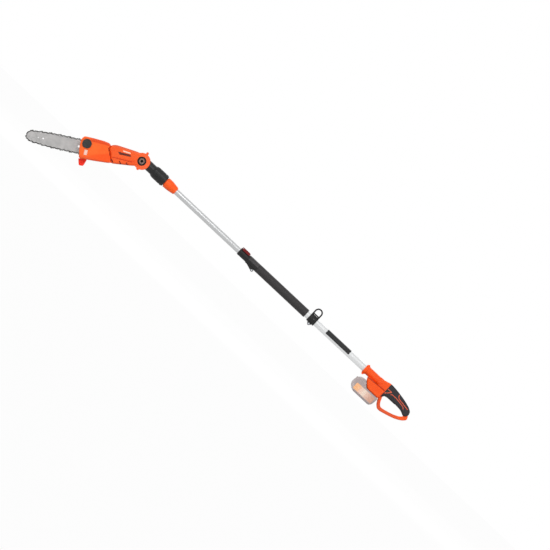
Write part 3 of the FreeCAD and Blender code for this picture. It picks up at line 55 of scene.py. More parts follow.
class Shade:
    """A socket of a node; arithmetic on it adds Math nodes."""

    def __init__(self, wiring, socket):
        self.wiring = wiring
        self.socket = socket

    def math(self, operation, a, b=None, clamp=False):
        inputs = {0: a} if b is None else {0: a, 1: b}
        settings = {"operation": operation, "use_clamp": clamp}
        return self.wiring.add("ShaderNodeMath", settings, inputs)

    def __add__(self, other):
        return self.math("ADD", self, other)

    def __radd__(self, other):
        return self.math("ADD", other, self)

    def __sub__(self, other):
        return self.math("SUBTRACT", self, other)

    def __rsub__(self, other):
        return self.math("SUBTRACT", other, self)

    def __mul__(self, other):
        return self.math("MULTIPLY", self, other)

    def __rmul__(self, other):
        return self.math("MULTIPLY", other, self)

    def __truediv__(self, other):
        return self.math("DIVIDE", self, other)

    def __pow__(self, other):
        return self.math("POWER", self, other)

    def __gt__(self, other):
        return self.math("GREATER_THAN", self, other)

    def __lt__(self, other):
        return self.math("LESS_THAN", self, other)

    def clamped(self):
        return self.math("ADD", self, 0.0, clamp=True)

    def unsigned(self):
        return (self * self) ** 0.5

    def between(self, low, high):
        """1 from low to high, 0 elsewhere."""
        return (self > low) * (self < high)

    def other(self, name):
        """Another output of the same node."""
        return Shade(self.wiring, self.socket.node.outputs[name])


class Wiring:
    """A node tree and the one way in which nodes are added to it."""

    def __init__(self, tree):
        self.tree = tree

    def add(self, kind, settings=None, inputs=None, out=0):
        node = self.tree.nodes.new(kind)
        for key, value in (settings or {}).items():
            if key == "stops":
                ramp = node.color_ramp
                while len(ramp.elements) < len(value):
                    ramp.elements.new(0.5)
                for element, (place, colour) in zip(ramp.elements, value):
                    element.position = place
                    element.color = (*colour, 1.0)
            else:
                setattr(node, key, value)
        for key, value in (inputs or {}).items():
            if isinstance(value, Shade):
                self.tree.links.new(value.socket, node.inputs[key])
            else:
                node.inputs[key].default_value = value
        return Shade(self, node.outputs[out])

    def ramp(self, factor, low, high):
        """0 below low, 1 above high."""
        return self.add("ShaderNodeMapRange", {"clamp": True},
                        {"Value": factor, "From Min": low, "From Max": high})

    def white_rays(self):
        """1 for rays that show the background: straight, mirrored or passed through."""
        path = self.add("ShaderNodeLightPath", out="Is Camera Ray")
        return (path + path.other("Is Glossy Ray") + path.other("Is Transmission Ray")).clamped()


class Finish(Wiring):
    """A material built from nodes."""

    def __init__(self, name, **constants):
        self.material = bpy.data.materials.new(name)
        self.material.use_nodes = True
        super().__init__(self.material.node_tree)
        self.shader = self.tree.nodes["Principled BSDF"]
        for socket, value in constants.items():
            self.shader.inputs[socket.replace("_", " ")].default_value = value

    def place(self, scale=(1.0, 1.0, 1.0), turn=(0.0, 0.0, 0.0), offset=(0.0, 0.0, 0.0)):
        """Object coordinates, turned, scaled and moved."""
        where = self.add("ShaderNodeTexCoord", out="Object")
        return self.add("ShaderNodeMapping", inputs={"Vector": where, "Location": offset,
                                                     "Rotation": turn, "Scale": scale})

    def grain(self, scale, detail=3.0, rough=0.55, at=None, warp=0.0):
        """Noise from 0 to 1, around 0.5."""
        return self.add("ShaderNodeTexNoise", {"noise_dimensions": "3D"},
                        {"Vector": at or self.place(), "Scale": scale, "Detail": detail,
                         "Roughness": rough, "Distortion": warp})

    def cells(self, scale):
        """Distance to the nearest of many scattered points."""
        return self.add("ShaderNodeTexVoronoi", {"feature": "F1"},
                        {"Vector": self.place(), "Scale": scale})

    def mix(self, factor, a, b):
        """A colour between a and b; each is a colour or the result of another mix."""
        inputs = {0: factor}
        for key, value in ((6, a), (7, b)):
            inputs[key] = value if isinstance(value, Shade) else (*value, 1.0)
        return self.add("ShaderNodeMix", {"data_type": "RGBA"}, inputs, out=2)

    def feed(self, socket, value):
        self.tree.links.new(value.socket, self.shader.inputs[socket])

    def bump(self, height, distance, strength):
        return self.add("ShaderNodeBump", inputs={"Height": height, "Distance": distance,
                                                  "Strength": strength})


camera_roll = math.radians(43.13)
view_centre = Vector((-0.2308, 0.0, -0.0099))
view_distance = 30.0
view_width = 2.2
camera_data = bpy.data.cameras.new("camera")
camera_data.lens = camera_data.sensor_width * view_distance / view_width
camera = bpy.data.objects.new("camera", camera_data)
right = Vector((math.cos(camera_roll), 0.0, math.sin(camera_roll)))
up = Vector((-math.sin(camera_roll), 0.0, math.cos(camera_roll)))
towards_camera = Vector((0.0, -1.0, 0.0))
rolled = Matrix((right, up, towards_camera)).transposed().to_4x4()
camera.matrix_world = Matrix.Translation(view_centre + view_distance * towards_camera) @ rolled
scene.collection.objects.link(camera)
scene.camera = camera

table_size = 30.0
table_gap = 0.001
table_mesh = bpy.data.meshes.new("floor")
table_shape = bmesh.new()
bmesh.ops.create_grid(table_shape, x_segments=1, y_segments=1, size=table_size)
bmesh.ops.translate(table_shape, vec=(0.0, 0.0, cad_box[0][2] - table_gap),
                    verts=table_shape.verts)
table_shape.to_mesh(table_mesh)
table_shape.free()
table = bpy.data.objects.new("floor", table_mesh)
scene.collection.objects.link(table)

# The paper on the table shows white, with a tenth left plain, so that it keeps the shadow.
white_share = 0.9
paper = Finish("studio_paper", Base_Color=(0.62, 0.62, 0.62, 1.0), Roughness=0.9,
               Specular_IOR_Level=0.1)
plain_paper = Shade(paper, paper.shader.outputs[0])
white_paper = paper.add("ShaderNodeEmission", inputs={"Color": (1.0, 1.0, 1.0, 1.0),
                                                      "Strength": 1.04})
seen_paper = paper.add("ShaderNodeMixShader", inputs={0: paper.white_rays() * white_share,
                                                      1: plain_paper, 2: white_paper})
paper.tree.links.new(seen_paper.socket, paper.tree.nodes["Material Output"].inputs["Surface"])
table_mesh.materials.append(paper.material)

# The walls show white, and light the saw softly from a band that starts at table height.
corner_light = 0.42
band_light = 0.43
world = bpy.data.worlds.new("room")
scene.world = world
world.use_nodes = True
walls = Wiring(world.node_tree)
shown_white = walls.white_rays()
direction = walls.add("ShaderNodeTexCoord", out="Generated")
rise = walls.add("ShaderNodeSeparateXYZ", inputs={0: direction}, out="Z")
band = walls.ramp(rise, -0.22, 0.08) * (1.0 - walls.ramp(rise, 0.55, 0.95))
wall_light = corner_light + band_light * band
background = world.node_tree.nodes["Background"]
background.inputs["Color"].default_value = (1.0, 1.0, 1.0, 1.0)
world.node_tree.links.new((shown_white + (1.0 - shown_white) * wall_light).socket,
                          background.inputs["Strength"])

soft_boxes = {
    "key_light": {"place": (-2.0, -3.6, 2.0), "aim": (-0.3, 0.0, 0.0), "size": (2.5, 2.5),
                  "power": 74.0},
    "fill_light": {"place": (2.6, -3.0, 1.2), "aim": (0.0, 0.0, 0.0), "size": (2.0, 2.0),
                   "power": 30.0},
    "back_light": {"place": (0.0, 3.4, 2.4), "aim": (0.0, 0.0, 0.0), "size": (3.0, 2.0),
                   "power": 18.0},
}
for name, box in soft_boxes.items():
    lamp = bpy.data.lights.new(name, "AREA")
    lamp.shape = "RECTANGLE"
    lamp.size, lamp.size_y = box["size"]
    lamp.energy = box["power"]
    stand = bpy.data.objects.new(name, lamp)
    stand.location = box["place"]
    aim = Vector(box["aim"]) - Vector(box["place"])
    stand.rotation_euler = aim.to_track_quat("-Z", "Y").to_euler()
    scene.collection.objects.link(stand)

# ---------------------------------------------------------------- guide bar
# Laminated steel plate that carries the chain: ground and brushed along its length, dulled
# along the rails by the chain's oil, and clamped in the head by one nut.

# Places are written in millimetres from the hinge, along the pole or along the bent saw head.
# The middle of the strap hoop's eye is the frame's origin; the pivot lies below the pole's axis.
hoop_eye = Vector((930.0, 0.0, 36.95))
hinge_drop = 5.0
head_turn = math.radians(30.63)


def tint(red, green, blue):
    """Screen colour, 0 to 255, as the shader's linear colour."""
    linear = []
    for value in (red, green, blue):
        share = value / 255
        linear.append(share / 12.92 if share <= 0.04045 else ((share + 0.055) / 1.055) ** 2.4)
    return tuple(linear)


def coat(finish, *names):
    """Give CAD nodes a finish."""
    for name in names:
        mesh = nodes[name].data
        mesh.materials.clear()
        mesh.materials.append(finish.material)


def on_pole(x, y, z):
    """A point measured along the pole, in the frame's metres."""
    return (Vector((x, y, z)) - hoop_eye) / 1000


def on_head(x, y, z):
    """A point measured along the saw head, in the frame's metres."""
    cosine, sine = math.cos(head_turn), math.sin(head_turn)
    return on_pole(x * cosine - z * sine, y, x * sine + z * cosine - hinge_drop)


def along_head(finish, scale=(1.0, 1.0, 1.0)):
    """Coordinates in metres from the hinge, turned so that X runs along the saw head."""
    start = Matrix.Rotation(head_turn, 3, "Y") @ on_head(0.0, 0.0, 0.0)
    turned = finish.place(turn=(0.0, head_turn, 0.0), offset=tuple(-start))
    return finish.add("ShaderNodeVectorMath", {"operation": "MULTIPLY"}, {0: turned, 1: scale})


def parts_of(place):
    """The three numbers of a place."""
    split = place.wiring.add("ShaderNodeSeparateXYZ", inputs={0: place}, out="X")
    return split, split.other("Y"), split.other("Z")


bar_middle = 0.004
rail_start, rail_end = 0.0215, 0.0245
bar_finish = Finish("brushed_bar", Metallic=0.75, Roughness=0.34)
streaks = bar_finish.grain(40.0, detail=6.0, rough=0.7,
                           at=along_head(bar_finish, scale=(1.0, 1.0, 60.0)))
clouds = bar_finish.ramp(bar_finish.grain(28.0, detail=4.0), 0.38, 0.66)
specks = bar_finish.ramp(bar_finish.grain(900.0, detail=2.0), 0.60, 0.74)
_, _, bar_z = parts_of(along_head(bar_finish))
rails = bar_finish.ramp((bar_z - bar_middle).unsigned(), rail_start, rail_end)
bar_colour = bar_finish.mix(clouds, tint(164, 163, 162), tint(181, 179, 178))
bar_colour = bar_finish.mix(bar_finish.ramp(streaks, 0.55, 0.8) * 0.25, bar_colour,
                            tint(142, 142, 142))
bar_colour = bar_finish.mix(specks * 0.35, bar_colour, tint(108, 107, 106))
bar_colour = bar_finish.mix(rails * 0.5, bar_colour, tint(136, 134, 132))
bar_finish.feed("Base Color", bar_colour)
bar_finish.feed("Roughness", 0.26 + 0.22 * streaks)
bar_finish.feed("Normal", bar_finish.bump(streaks, 0.00006, 0.6))
coat(bar_finish, "guide_bar")

# ---------------------------------------------------------------- saw chain
# Stamped and hardened links on pressed rivets, dark from bar oil. The cutters are ground and
# plated, and the rivet heads are rubbed by the wood.
link_finish = Finish("oiled_chain", Metallic=0.8, Roughness=0.4)
oil = link_finish.grain(180.0, detail=4.0)
link_colour = link_finish.mix(link_finish.ramp(oil, 0.4, 0.65), tint(30, 28, 27), tint(56, 54, 52))
link_finish.feed("Base Color", link_colour)
link_finish.feed("Roughness", 0.28 + 0.3 * oil)
link_finish.feed("Normal", link_finish.bump(link_finish.grain(1400.0), 0.00005, 0.5))
coat(link_finish, "drive_links", "tie_straps")

cutter_finish = Finish("ground_cutter", Metallic=0.85, Roughness=0.28)
rubbed = cutter_finish.grain(260.0, detail=5.0)
cutter_colour = cutter_finish.mix(cutter_finish.ramp(rubbed, 0.35, 0.65), tint(66, 65, 64),
                                  tint(140, 139, 138))
cutter_finish.feed("Base Color", cutter_colour)
cutter_finish.feed("Roughness", 0.2 + 0.25 * rubbed)
cutter_finish.feed("Normal", cutter_finish.bump(rubbed, 0.00004, 0.5))
coat(cutter_finish, "cutters", "chain_rivets")

# ---------------------------------------------------------------- drive inside the head
# Sprockets, gears, shafts, motor can and bearing: turned and hobbed steel with a film of
# grease, pressed together on their shafts.
steel = Finish("machined_steel", Metallic=0.85, Roughness=0.35)
grease = steel.grain(320.0, detail=3.0)
steel_colour = steel.mix(steel.ramp(grease, 0.3, 0.7), tint(150, 150, 152), tint(182, 182, 184))
steel.feed("Base Color", steel_colour)
steel.feed("Roughness", 0.25 + 0.2 * grease)
steel.feed("Normal", steel.bump(grease, 0.00003, 0.5))
coat(steel, "nose_sprocket", "drive_sprocket", "bevel_gear", "motor_pinion", "motor_can", "rotor",
     "shaft_bearing", "output_shaft", "tension_pin")

# ---------------------------------------------------------------- gear case
# Die-cast zinc alloy plate with a fine cast skin, tumbled after casting, which holds the
# shaft's bearing and the bar's stud.
alloy = Finish("cast_alloy", Metallic=0.7, Roughness=0.5)
cast_skin = alloy.grain(400.0, detail=4.0)
alloy_colour = alloy.mix(alloy.ramp(cast_skin, 0.35, 0.65), tint(150, 151, 153),
                         tint(176, 177, 179))
alloy.feed("Base Color", alloy_colour)
alloy.feed("Roughness", 0.42 + 0.2 * cast_skin)
alloy.feed("Normal", alloy.bump(cast_skin, 0.0001, 0.7))
coat(alloy, "gear_case")


# ---------------------------------------------------------------- orange mouldings
# Injection-moulded nylon in satin orange: cover, ferrule, head housings and handle shells.
# The surface has a fine spark-eroded grain and light handling scuffs.
def shell_finish(name, bright, deep, scuffed):
    finish = Finish(name, Roughness=0.36, Specular_IOR_Level=0.25)
    flow = finish.grain(16.0, detail=3.0)
    scuffs = finish.grain(70.0, detail=8.0, rough=0.7, warp=0.6)
    eroded = finish.grain(1500.0, detail=2.0)
    colour = finish.mix(finish.ramp(flow, 0.35, 0.7), tint(*bright), tint(*deep))
    colour = finish.mix(finish.ramp(scuffs, 0.62, 0.72) * 0.12, colour, tint(*scuffed))
    finish.feed("Base Color", colour)
    finish.feed("Roughness", 0.30 + 0.16 * finish.ramp(scuffs, 0.3, 0.8))
    finish.feed("Normal", finish.bump(eroded, 0.00004, 0.5))
    return finish, colour


orange_bright = (250, 94, 27)
orange_deep = (241, 81, 19)
orange_scuff = (250, 140, 90)
orange, _ = shell_finish("orange_nylon", orange_bright, orange_deep, orange_scuff)
coat(orange, "sprocket_cover", "pole_ferrule")


# ---------------------------------------------------------------- front housing
# Near-side moulding over tank and gears. Its rear edge is notched where it keys into the motor
# housing, and each notch is painted dark as shade; shoulder and underside carry painted shade, and
# the belly is a deeper orange.
def line_over(x, start, rise):
    """A straight line over x, through start."""
    start_x, start_height = start
    return start_height + (x - start_x) * rise


notch_pitch = 0.005
notch_start = 0.0245
notch_depth = 0.0038
notch_share = 0.46
lowest_notch, highest_notch = -0.0098, 0.0238
near_face_y = -0.0285
front, front_colour = shell_finish("front_nylon", (255, 106, 34), (252, 94, 26), orange_scuff)
front_x, front_y, front_z = parts_of(along_head(front))
rear_edge = line_over(front_z, (0.022, -0.140), -0.4333)
near_edge = (front_x > rear_edge - notch_depth) * (front_y < near_face_y)
notch_count = (front_z - notch_start) / notch_pitch
notch_shade = notch_count.math("FRACT", notch_count) > notch_share
notch_shade = notch_shade * front_z.between(lowest_notch, highest_notch)
shoulder_line = line_over(front_x, (-0.212, 0.0328), -0.0389)
shoulder = front.ramp(front_z - shoulder_line, -0.001, 0.002) * front.ramp(front_x, -0.228, -0.208)
belly_line = line_over(front_x, (-0.220, -0.024), 0.318)
belly = front.ramp(belly_line - front_z, -0.002, 0.005) * front.ramp(front_x, -0.225, -0.190)
underside = front.ramp(-0.028 - front_z, 0.0, 0.005)
# painted shade: the top band is darker, as where it faces away from the lamps
front_colour = front.mix(shoulder * 0.9, front_colour, tint(224, 70, 14))
front_colour = front.mix(belly * 0.6, front_colour, tint(250, 72, 4))
# painted shade: darker towards the bottom
front_colour = front.mix(underside * 0.6, front_colour, tint(226, 84, 40))
# painted shade: each notch along the rear edge is darkened
front_colour = front.mix(near_edge * notch_shade * 0.85, front_colour, tint(72, 20, 12))
front.feed("Base Color", front_colour)
coat(front, "front_housing")


# ---------------------------------------------------------------- motor housings
# Two orange half shells screwed together round the motor. The air slits under the motor and the
# groove along the near side are painted dark as shade, and the crest is painted darker as shade;
# ledge and pivot boss differ in tone.
def reach(x, z):
    """How far a point lies from the middle."""
    return (x * x + z * z) ** 0.5


groove_middle_x, groove_middle_z = -0.0795, -0.0109
groove_fall = 0.0361
groove_half_length, groove_half_width = 0.0425, 0.0013
slit_bottom, slit_top = -0.0325, -0.016
boss_radius = 0.036
motor_shell, motor_colour = shell_finish("motor_nylon", (244, 94, 34), (238, 84, 26), orange_scuff)
motor_x, motor_y, motor_z = parts_of(along_head(motor_shell))
groove_x = motor_x - groove_middle_x
groove_z = motor_z - groove_middle_z + groove_x * groove_fall
groove = groove_z.unsigned() < groove_half_width
groove = groove * (groove_x.unsigned() < groove_half_length) * (motor_y < -0.025)
slit_shade = motor_y.between(-0.0262, 0.0) * motor_z.between(slit_bottom, slit_top)
slit_shade = slit_shade * (motor_x < -0.045)
ledge = motor_shell.ramp(motor_z, -0.0135, -0.0115)
ledge = ledge * motor_shell.ramp(0.0 - motor_z, 0.004, 0.007)
ledge = ledge * motor_shell.ramp(motor_x, -0.118, -0.100)
ledge = ledge * motor_shell.ramp(0.0 - motor_x, 0.022, 0.030)
crest_line = line_over(motor_x, (-0.120, 0.034), -0.07)
crest = motor_shell.ramp(motor_z - crest_line, -0.001, 0.003) * (motor_x < -0.024)
pivot_boss = (reach(motor_x, motor_z) < boss_radius) * motor_y.between(-0.0268, -0.0255)
motor_colour = motor_shell.mix(ledge * 0.5, motor_colour, tint(228, 62, 8))
# painted shade: the crest along the top is darker
motor_colour = motor_shell.mix(crest * 0.6, motor_colour, tint(204, 78, 40))
motor_colour = motor_shell.mix(pivot_boss * 0.5, motor_colour, tint(244, 108, 62))
# painted shade along the groove on the near side
motor_colour = motor_shell.mix(groove * 0.5, motor_colour, tint(176, 34, 12))
# painted shade on the walls of the air slits
motor_colour = motor_shell.mix(slit_shade * 0.55, motor_colour, tint(60, 16, 10))
motor_shell.feed("Base Color", motor_colour)
coat(motor_shell, "motor_housing_near", "motor_housing_far")


# ---------------------------------------------------------------- air baffle and housing lip
# A brown nylon strip stands behind the air slits and keeps fingers and sawdust off the motor; its
# dark brown is painted shade seen through the slits.
# A lip moulded on the near shell laps under the lower corner of the front housing.
def slab(corners, y0, y1, place, edge=0.0):
    """A flat plate with this outline of (x, z) points, from y0 to y1, with rounded edges."""
    shape = bmesh.new()
    outline = [shape.verts.new(place(x, y0, z)) for x, z in corners]
    face = shape.faces.new(outline)
    made = bmesh.ops.extrude_face_region(shape, geom=[face])
    far = [item for item in made["geom"] if isinstance(item, bmesh.types.BMVert)]
    bmesh.ops.translate(shape, vec=(0.0, (y1 - y0) / 1000, 0.0), verts=far)
    if edge:
        bmesh.ops.bevel(shape, geom=shape.edges[:], offset=edge / 1000, segments=3, profile=0.5,
                        affect="EDGES", material=-1)
    return shape


def finish_piece(name, shape, finish, body):
    """Make a shape an object that rides on a body."""
    bmesh.ops.recalc_face_normals(shape, faces=shape.faces)
    mesh = bpy.data.meshes.new(name)
    shape.to_mesh(mesh)
    shape.free()
    mesh.materials.append(finish.material)
    piece = bpy.data.objects.new(name, mesh)
    scene.collection.objects.link(piece)
    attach(piece, body)


# the dark brown stands for the shade inside the air slits
baffle_shade_brown, _ = shell_finish("baffle_nylon", (138, 40, 16), (118, 30, 12), (150, 60, 40))
baffle_outline = [(-124, -18), (-124, -28), (-47, -25.5), (-47, -15.5)]
finish_piece("slit_baffle", slab(baffle_outline, -26.0, -24.6, on_head), baffle_shade_brown,
             "head")
lip_outline = [(-127, -33.6), (-117.5, -33.4), (-117.5, -30.5), (-122, -26), (-127, -27)]
finish_piece("housing_lip", slab(lip_outline, -28.0, -14.0, on_head, edge=1.0), motor_shell,
             "head")


# ---------------------------------------------------------------- stripes on the motor housing
# Two plain stripes printed on the near shell, a pale one over a dark one. The ink film follows
# the curve of the shell and is a little rubbed.
def film(corners, target, thick=0.00025, corner=0.0):
    """A thin film with these corners, laid on the near side of a CAD node."""
    shape = bmesh.new()
    outline = [shape.verts.new(point) for point in corners]
    shape.faces.new(outline)
    if corner:
        bmesh.ops.bevel(shape, geom=outline, offset=corner, segments=5, profile=0.5,
                        affect="VERTICES", material=-1)
    bmesh.ops.triangulate(shape, faces=shape.faces)
    for _ in range(3):
        bmesh.ops.subdivide_edges(shape, edges=shape.edges, cuts=1, use_grid_fill=True)
    surface = nodes[target]
    inwards = Vector((0.0, 1.0, 0.0))
    for vert in shape.verts:
        start = Vector((vert.co.x, -0.2, vert.co.z))
        found, hit, _, _ = surface.ray_cast(start, inwards)
        vert.co.y = (hit.y if found else vert.co.y) - thick
    made = bmesh.ops.extrude_face_region(shape, geom=shape.faces[:])
    under = [item for item in made["geom"] if isinstance(item, bmesh.types.BMVert)]
    bmesh.ops.translate(shape, vec=(0.0, 2 * thick, 0.0), verts=under)
    return shape


def print_film(name, ink, rough):
    finish = Finish(name, Roughness=rough, Specular_IOR_Level=0.3)
    rub = finish.grain(260.0, detail=6.0, rough=0.7)
    rubbed_ink = tuple(min(255, channel + 40) for channel in ink)
    colour = finish.mix(finish.ramp(rub, 0.55, 0.75) * 0.3, tint(*ink), tint(*rubbed_ink))
    finish.feed("Base Color", colour)
    finish.feed("Roughness", rough - 0.05 + 0.2 * rub)
    return finish


dark_ink = print_film("accent_dark", (92, 30, 18), 0.4)
pale_ink = print_film("accent_pale", (246, 206, 184), 0.35)
head_stripes = {
    "pale_stripe": (pale_ink, [(-83.0, 26.5), (-52.0, 23.5), (-50.0, 18.6), (-79.0, 20.6)]),
    "dark_stripe": (dark_ink, [(-102.0, 17.0), (-50.0, 15.4), (-45.0, 7.6), (-93.0, 7.0)]),
}
outside_shell = -29.0
for name, (ink, outline) in head_stripes.items():
    corners = [on_head(x, outside_shell, z) for x, z in outline]
    finish_piece(name, film(corners, "motor_housing_near"), ink, "head")

# ---------------------------------------------------------------- branch hook
# Red nylon bumper that rests on the branch while the saw cuts; its flange lies on the floor of
# the front housing. The switch plunger is moulded in the same red.
red, _ = shell_finish("red_nylon", (250, 54, 24), (236, 42, 18), (250, 120, 90))
coat(red, "branch_hook", "switch_plunger")


# ---------------------------------------------------------------- black mouldings
# Glass-filled nylon in black: collar, clamp housing, strap clamp, trigger and the small parts
# inside pole and handle. The glass shows as fine grain, with paler rubbed places.
def dark_moulding(name, low, high, rough):
    finish = Finish(name, Roughness=rough, Specular_IOR_Level=0.26)
    clouds = finish.grain(30.0, detail=4.0)
    glass = finish.grain(1200.0, detail=3.0)
    rub = finish.grain(90.0, detail=8.0, rough=0.75, warp=0.8)
    colour = finish.mix(finish.ramp(clouds, 0.3, 0.7), tint(*low), tint(*high))
    colour = finish.mix(finish.ramp(rub, 0.62, 0.75) * 0.25, colour, tint(72, 72, 74))
    finish.feed("Base Color", colour)
    finish.feed("Roughness", rough - 0.08 + 0.18 * finish.ramp(rub, 0.3, 0.8))
    finish.feed("Normal", finish.bump(glass, 0.00005, 0.6))
    return finish, colour


black, _ = dark_moulding("black_nylon", (24, 24, 24), (36, 35, 35), 0.38)
coat(black, "coupling_collar", "guide_bush", "lock_housing", "lock_collet", "strap_clamp",
     "trigger", "switch", "terminal_block")


# ---------------------------------------------------------------- knuckle
# Black nylon tongue between the forks of the motor housings, which carries the head on the
# pole. Round the pivot, it and the washer are painted darker as shade in the recess.
def along_pole(finish):
    """Coordinates in metres from the hinge, with X along the pole's axis."""
    return finish.place(offset=tuple(-on_pole(0.0, 0.0, 0.0)))


knuckle_black, knuckle_colour = dark_moulding("knuckle_nylon", (28, 28, 28), (42, 41, 41), 0.38)
knuckle_x, _, knuckle_z = parts_of(along_pole(knuckle_black))
from_pivot = reach(knuckle_x, knuckle_z + hinge_drop / 1000)
pivot_recess_shade = knuckle_black.ramp(0.0 - from_pivot, -0.022, -0.018)
# painted shade in the recess round the pivot
knuckle_black.feed("Base Color", knuckle_black.mix(pivot_recess_shade, knuckle_colour, tint(12, 8, 8)))
coat(knuckle_black, "knuckle", "pivot_washer")

# ---------------------------------------------------------------- oil cap and lock-off button
# Dark grey nylon, a little matt. The cap has a ribbed rim and screws on the tank's neck, and
# the button is pressed with the thumb.
grey, _ = dark_moulding("dark_grey_nylon", (44, 46, 45), (58, 60, 58), 0.5)
coat(grey, "oil_cap", "lock_off_button")

# ---------------------------------------------------------------- oil tank
# Blow-moulded polyethylene, milky, held between the housings. Its pad shows the oil through a
# window in the front housing.
milky = Finish("milky_tank", Roughness=0.42)
haze = milky.grain(45.0, detail=3.0)
milky.feed("Base Color", milky.mix(haze, tint(246, 202, 186), tint(238, 186, 168)))
milky.feed("Normal", milky.bump(milky.grain(500.0), 0.00008, 0.5))
coat(milky, "oil_tank")

# ---------------------------------------------------------------- screws, nuts, pins and cells
# Zinc-plated steel with faint machining marks; the nickel-plated cans of the battery cells
# have the same sheen.
zinc = Finish("zinc_plate", Metallic=0.9, Roughness=0.3)
plating = zinc.grain(300.0, detail=5.0)
zinc_colour = zinc.mix(zinc.ramp(plating, 0.35, 0.7), tint(206, 208, 212), tint(176, 178, 182))
zinc.feed("Base Color", zinc_colour)
zinc.feed("Roughness", 0.18 + 0.25 * plating)
coat(zinc, "bar_nut", "tension_screw", "head_screws", "pivot_nut", "lever_pin", "clamp_screws",
     "trigger_pin", "trigger_spring", "handle_screws", "battery_cells")

# ---------------------------------------------------------------- bar stud
# Zinc-plated stud pressed into the gear case, with a thread rolled along it, on which the bar
# nut runs. The thread's valleys are painted darker as shade and its crests lighter as highlight.
thread_pitch = 0.00125
stud = Finish("threaded_stud", Metallic=0.9, Roughness=0.3)
_, stud_y, _ = parts_of(along_head(stud))
turns = stud_y * (2 * math.pi / thread_pitch)
thread_and_shade = turns.math("SINE", turns) * 0.5 + 0.5
# painted shade in the thread's valleys, painted highlight on its crests
stud.feed("Base Color", stud.mix(thread_and_shade, tint(112, 112, 114), tint(204, 206, 210)))
stud.feed("Roughness", 0.25 + 0.2 * stud.grain(300.0))
stud.feed("Normal", stud.bump(thread_and_shade, 0.0004, 0.8))
coat(stud, "bar_stud")


# ---------------------------------------------------------------- sockets of the head's screws
# Star sockets in the screws of housings and hinge lugs, which all go in from the far side.
# They are thin black discs on the heads, painted shade for the sockets.
def star_sockets(places, face_y, place):
    """Black six-lobed discs on screw heads on the far side, one at each (x, z), painted shade for
    the sockets.
    """
    mean_radius, lobe, lobes, points = 1.55, 0.3, 6, 36
    proud, deep = 0.04, 0.0002
    shape = bmesh.new()
    for x, z in places:
        ring = []
        for i in range(points):
            angle = 2 * math.pi * i / points
            radius = mean_radius + lobe * math.cos(lobes * angle)
            ring.append(shape.verts.new(place(x + radius * math.cos(angle), face_y + proud,
                                              z + radius * math.sin(angle))))
        top = shape.faces.new(ring)
        made = bmesh.ops.extrude_face_region(shape, geom=[top])
        bottom = [item for item in made["geom"] if isinstance(item, bmesh.types.BMVert)]
        bmesh.ops.translate(shape, vec=(0.0, -deep, 0.0), verts=bottom)
    return shape


socket_shade, _ = dark_moulding("socket_shade", (10, 10, 11), (22, 22, 23), 0.5)
housing_screws = ((-112, 31.5), (-48, 26.5), (-108, -25.0), (-48, -20.0))
finish_piece("head_screw_sockets", star_sockets(housing_screws, 16.4, on_head), socket_shade,
             "head")
lug_screws = ((15.5, 35.3), (-10.5, -32.8))
finish_piece("lug_screw_sockets", star_sockets(lug_screws, 22.2, on_head), socket_shade,
             "head")

# ---------------------------------------------------------------- pivot bolt
# Hex-socket bolt through forks and knuckle, with a blackened, rubbed head turned in fine
# rings, its warm tint partly a painted reflection of the orange housing; the socket is deep and
# painted black as shade.
ring_pitch = 0.0007
socket_edge, rim_start = 0.0050, 0.0062
bolt = Finish("blackened_bolt", Metallic=0.85, Roughness=0.3)
bolt_x, _, bolt_z = parts_of(along_pole(bolt))
from_axis = reach(bolt_x, bolt_z + hinge_drop / 1000)
bolt_rub = bolt.grain(240.0, detail=5.0)
rim = bolt.ramp(from_axis, socket_edge, rim_start)
rings = from_axis * (2 * math.pi / ring_pitch)
ring_height = rings.math("SINE", rings) * rim
# painted shade: black inside the socket; the head's warm tint is partly painted reflection of the
# orange
bolt_colour = bolt.mix(rim * (0.75 + 0.25 * bolt_rub), tint(12, 11, 11), tint(122, 100, 92))
bolt.feed("Base Color", bolt_colour)
bolt.feed("Roughness", 0.24 + 0.2 * bolt_rub)
bolt.feed("Normal", bolt.bump(ring_height, 0.0001, 0.9))
coat(bolt, "pivot_bolt")


# ---------------------------------------------------------------- ribs of the locking collar
# Lengthwise ribs moulded round the locking collar, so that a gloved hand can turn it; their
# outer edges are rounded.
def collar_ribs(count, x0, x1, radius, width, proud):
    shape = bmesh.new()
    for i in range(count):
        verts = bmesh.ops.create_cube(shape, size=1.0)["verts"]
        bmesh.ops.scale(shape, vec=(x1 - x0, width, 2 * proud), verts=verts)
        bmesh.ops.translate(shape, vec=((x0 + x1) / 2, 0.0, radius), verts=verts)
        edges = {edge for vert in verts for edge in vert.link_edges}
        outer = [edge for edge in edges if all(vert.co.z > radius for vert in edge.verts)]
        rounded = bmesh.ops.bevel(shape, geom=outer, offset=proud * 0.8, segments=2, profile=0.5,
                                  affect="EDGES", material=-1)
        verts = list({vert for vert in verts if vert.is_valid} | set(rounded["verts"]))
        around = Matrix.Rotation(i * 2 * math.pi / count, 3, "X")
        bmesh.ops.rotate(shape, cent=(0.0, 0.0, 0.0), matrix=around, verts=verts)
    bmesh.ops.scale(shape, vec=(0.001, 0.001, 0.001), verts=shape.verts)
    bmesh.ops.translate(shape, vec=on_pole(0.0, 0.0, 0.0), verts=shape.verts)
    return shape


ribs = collar_ribs(count=28, x0=70.0, x1=106.0, radius=25.0, width=2.0, proud=0.6)
finish_piece("collar_ribs", ribs, black, "collar")


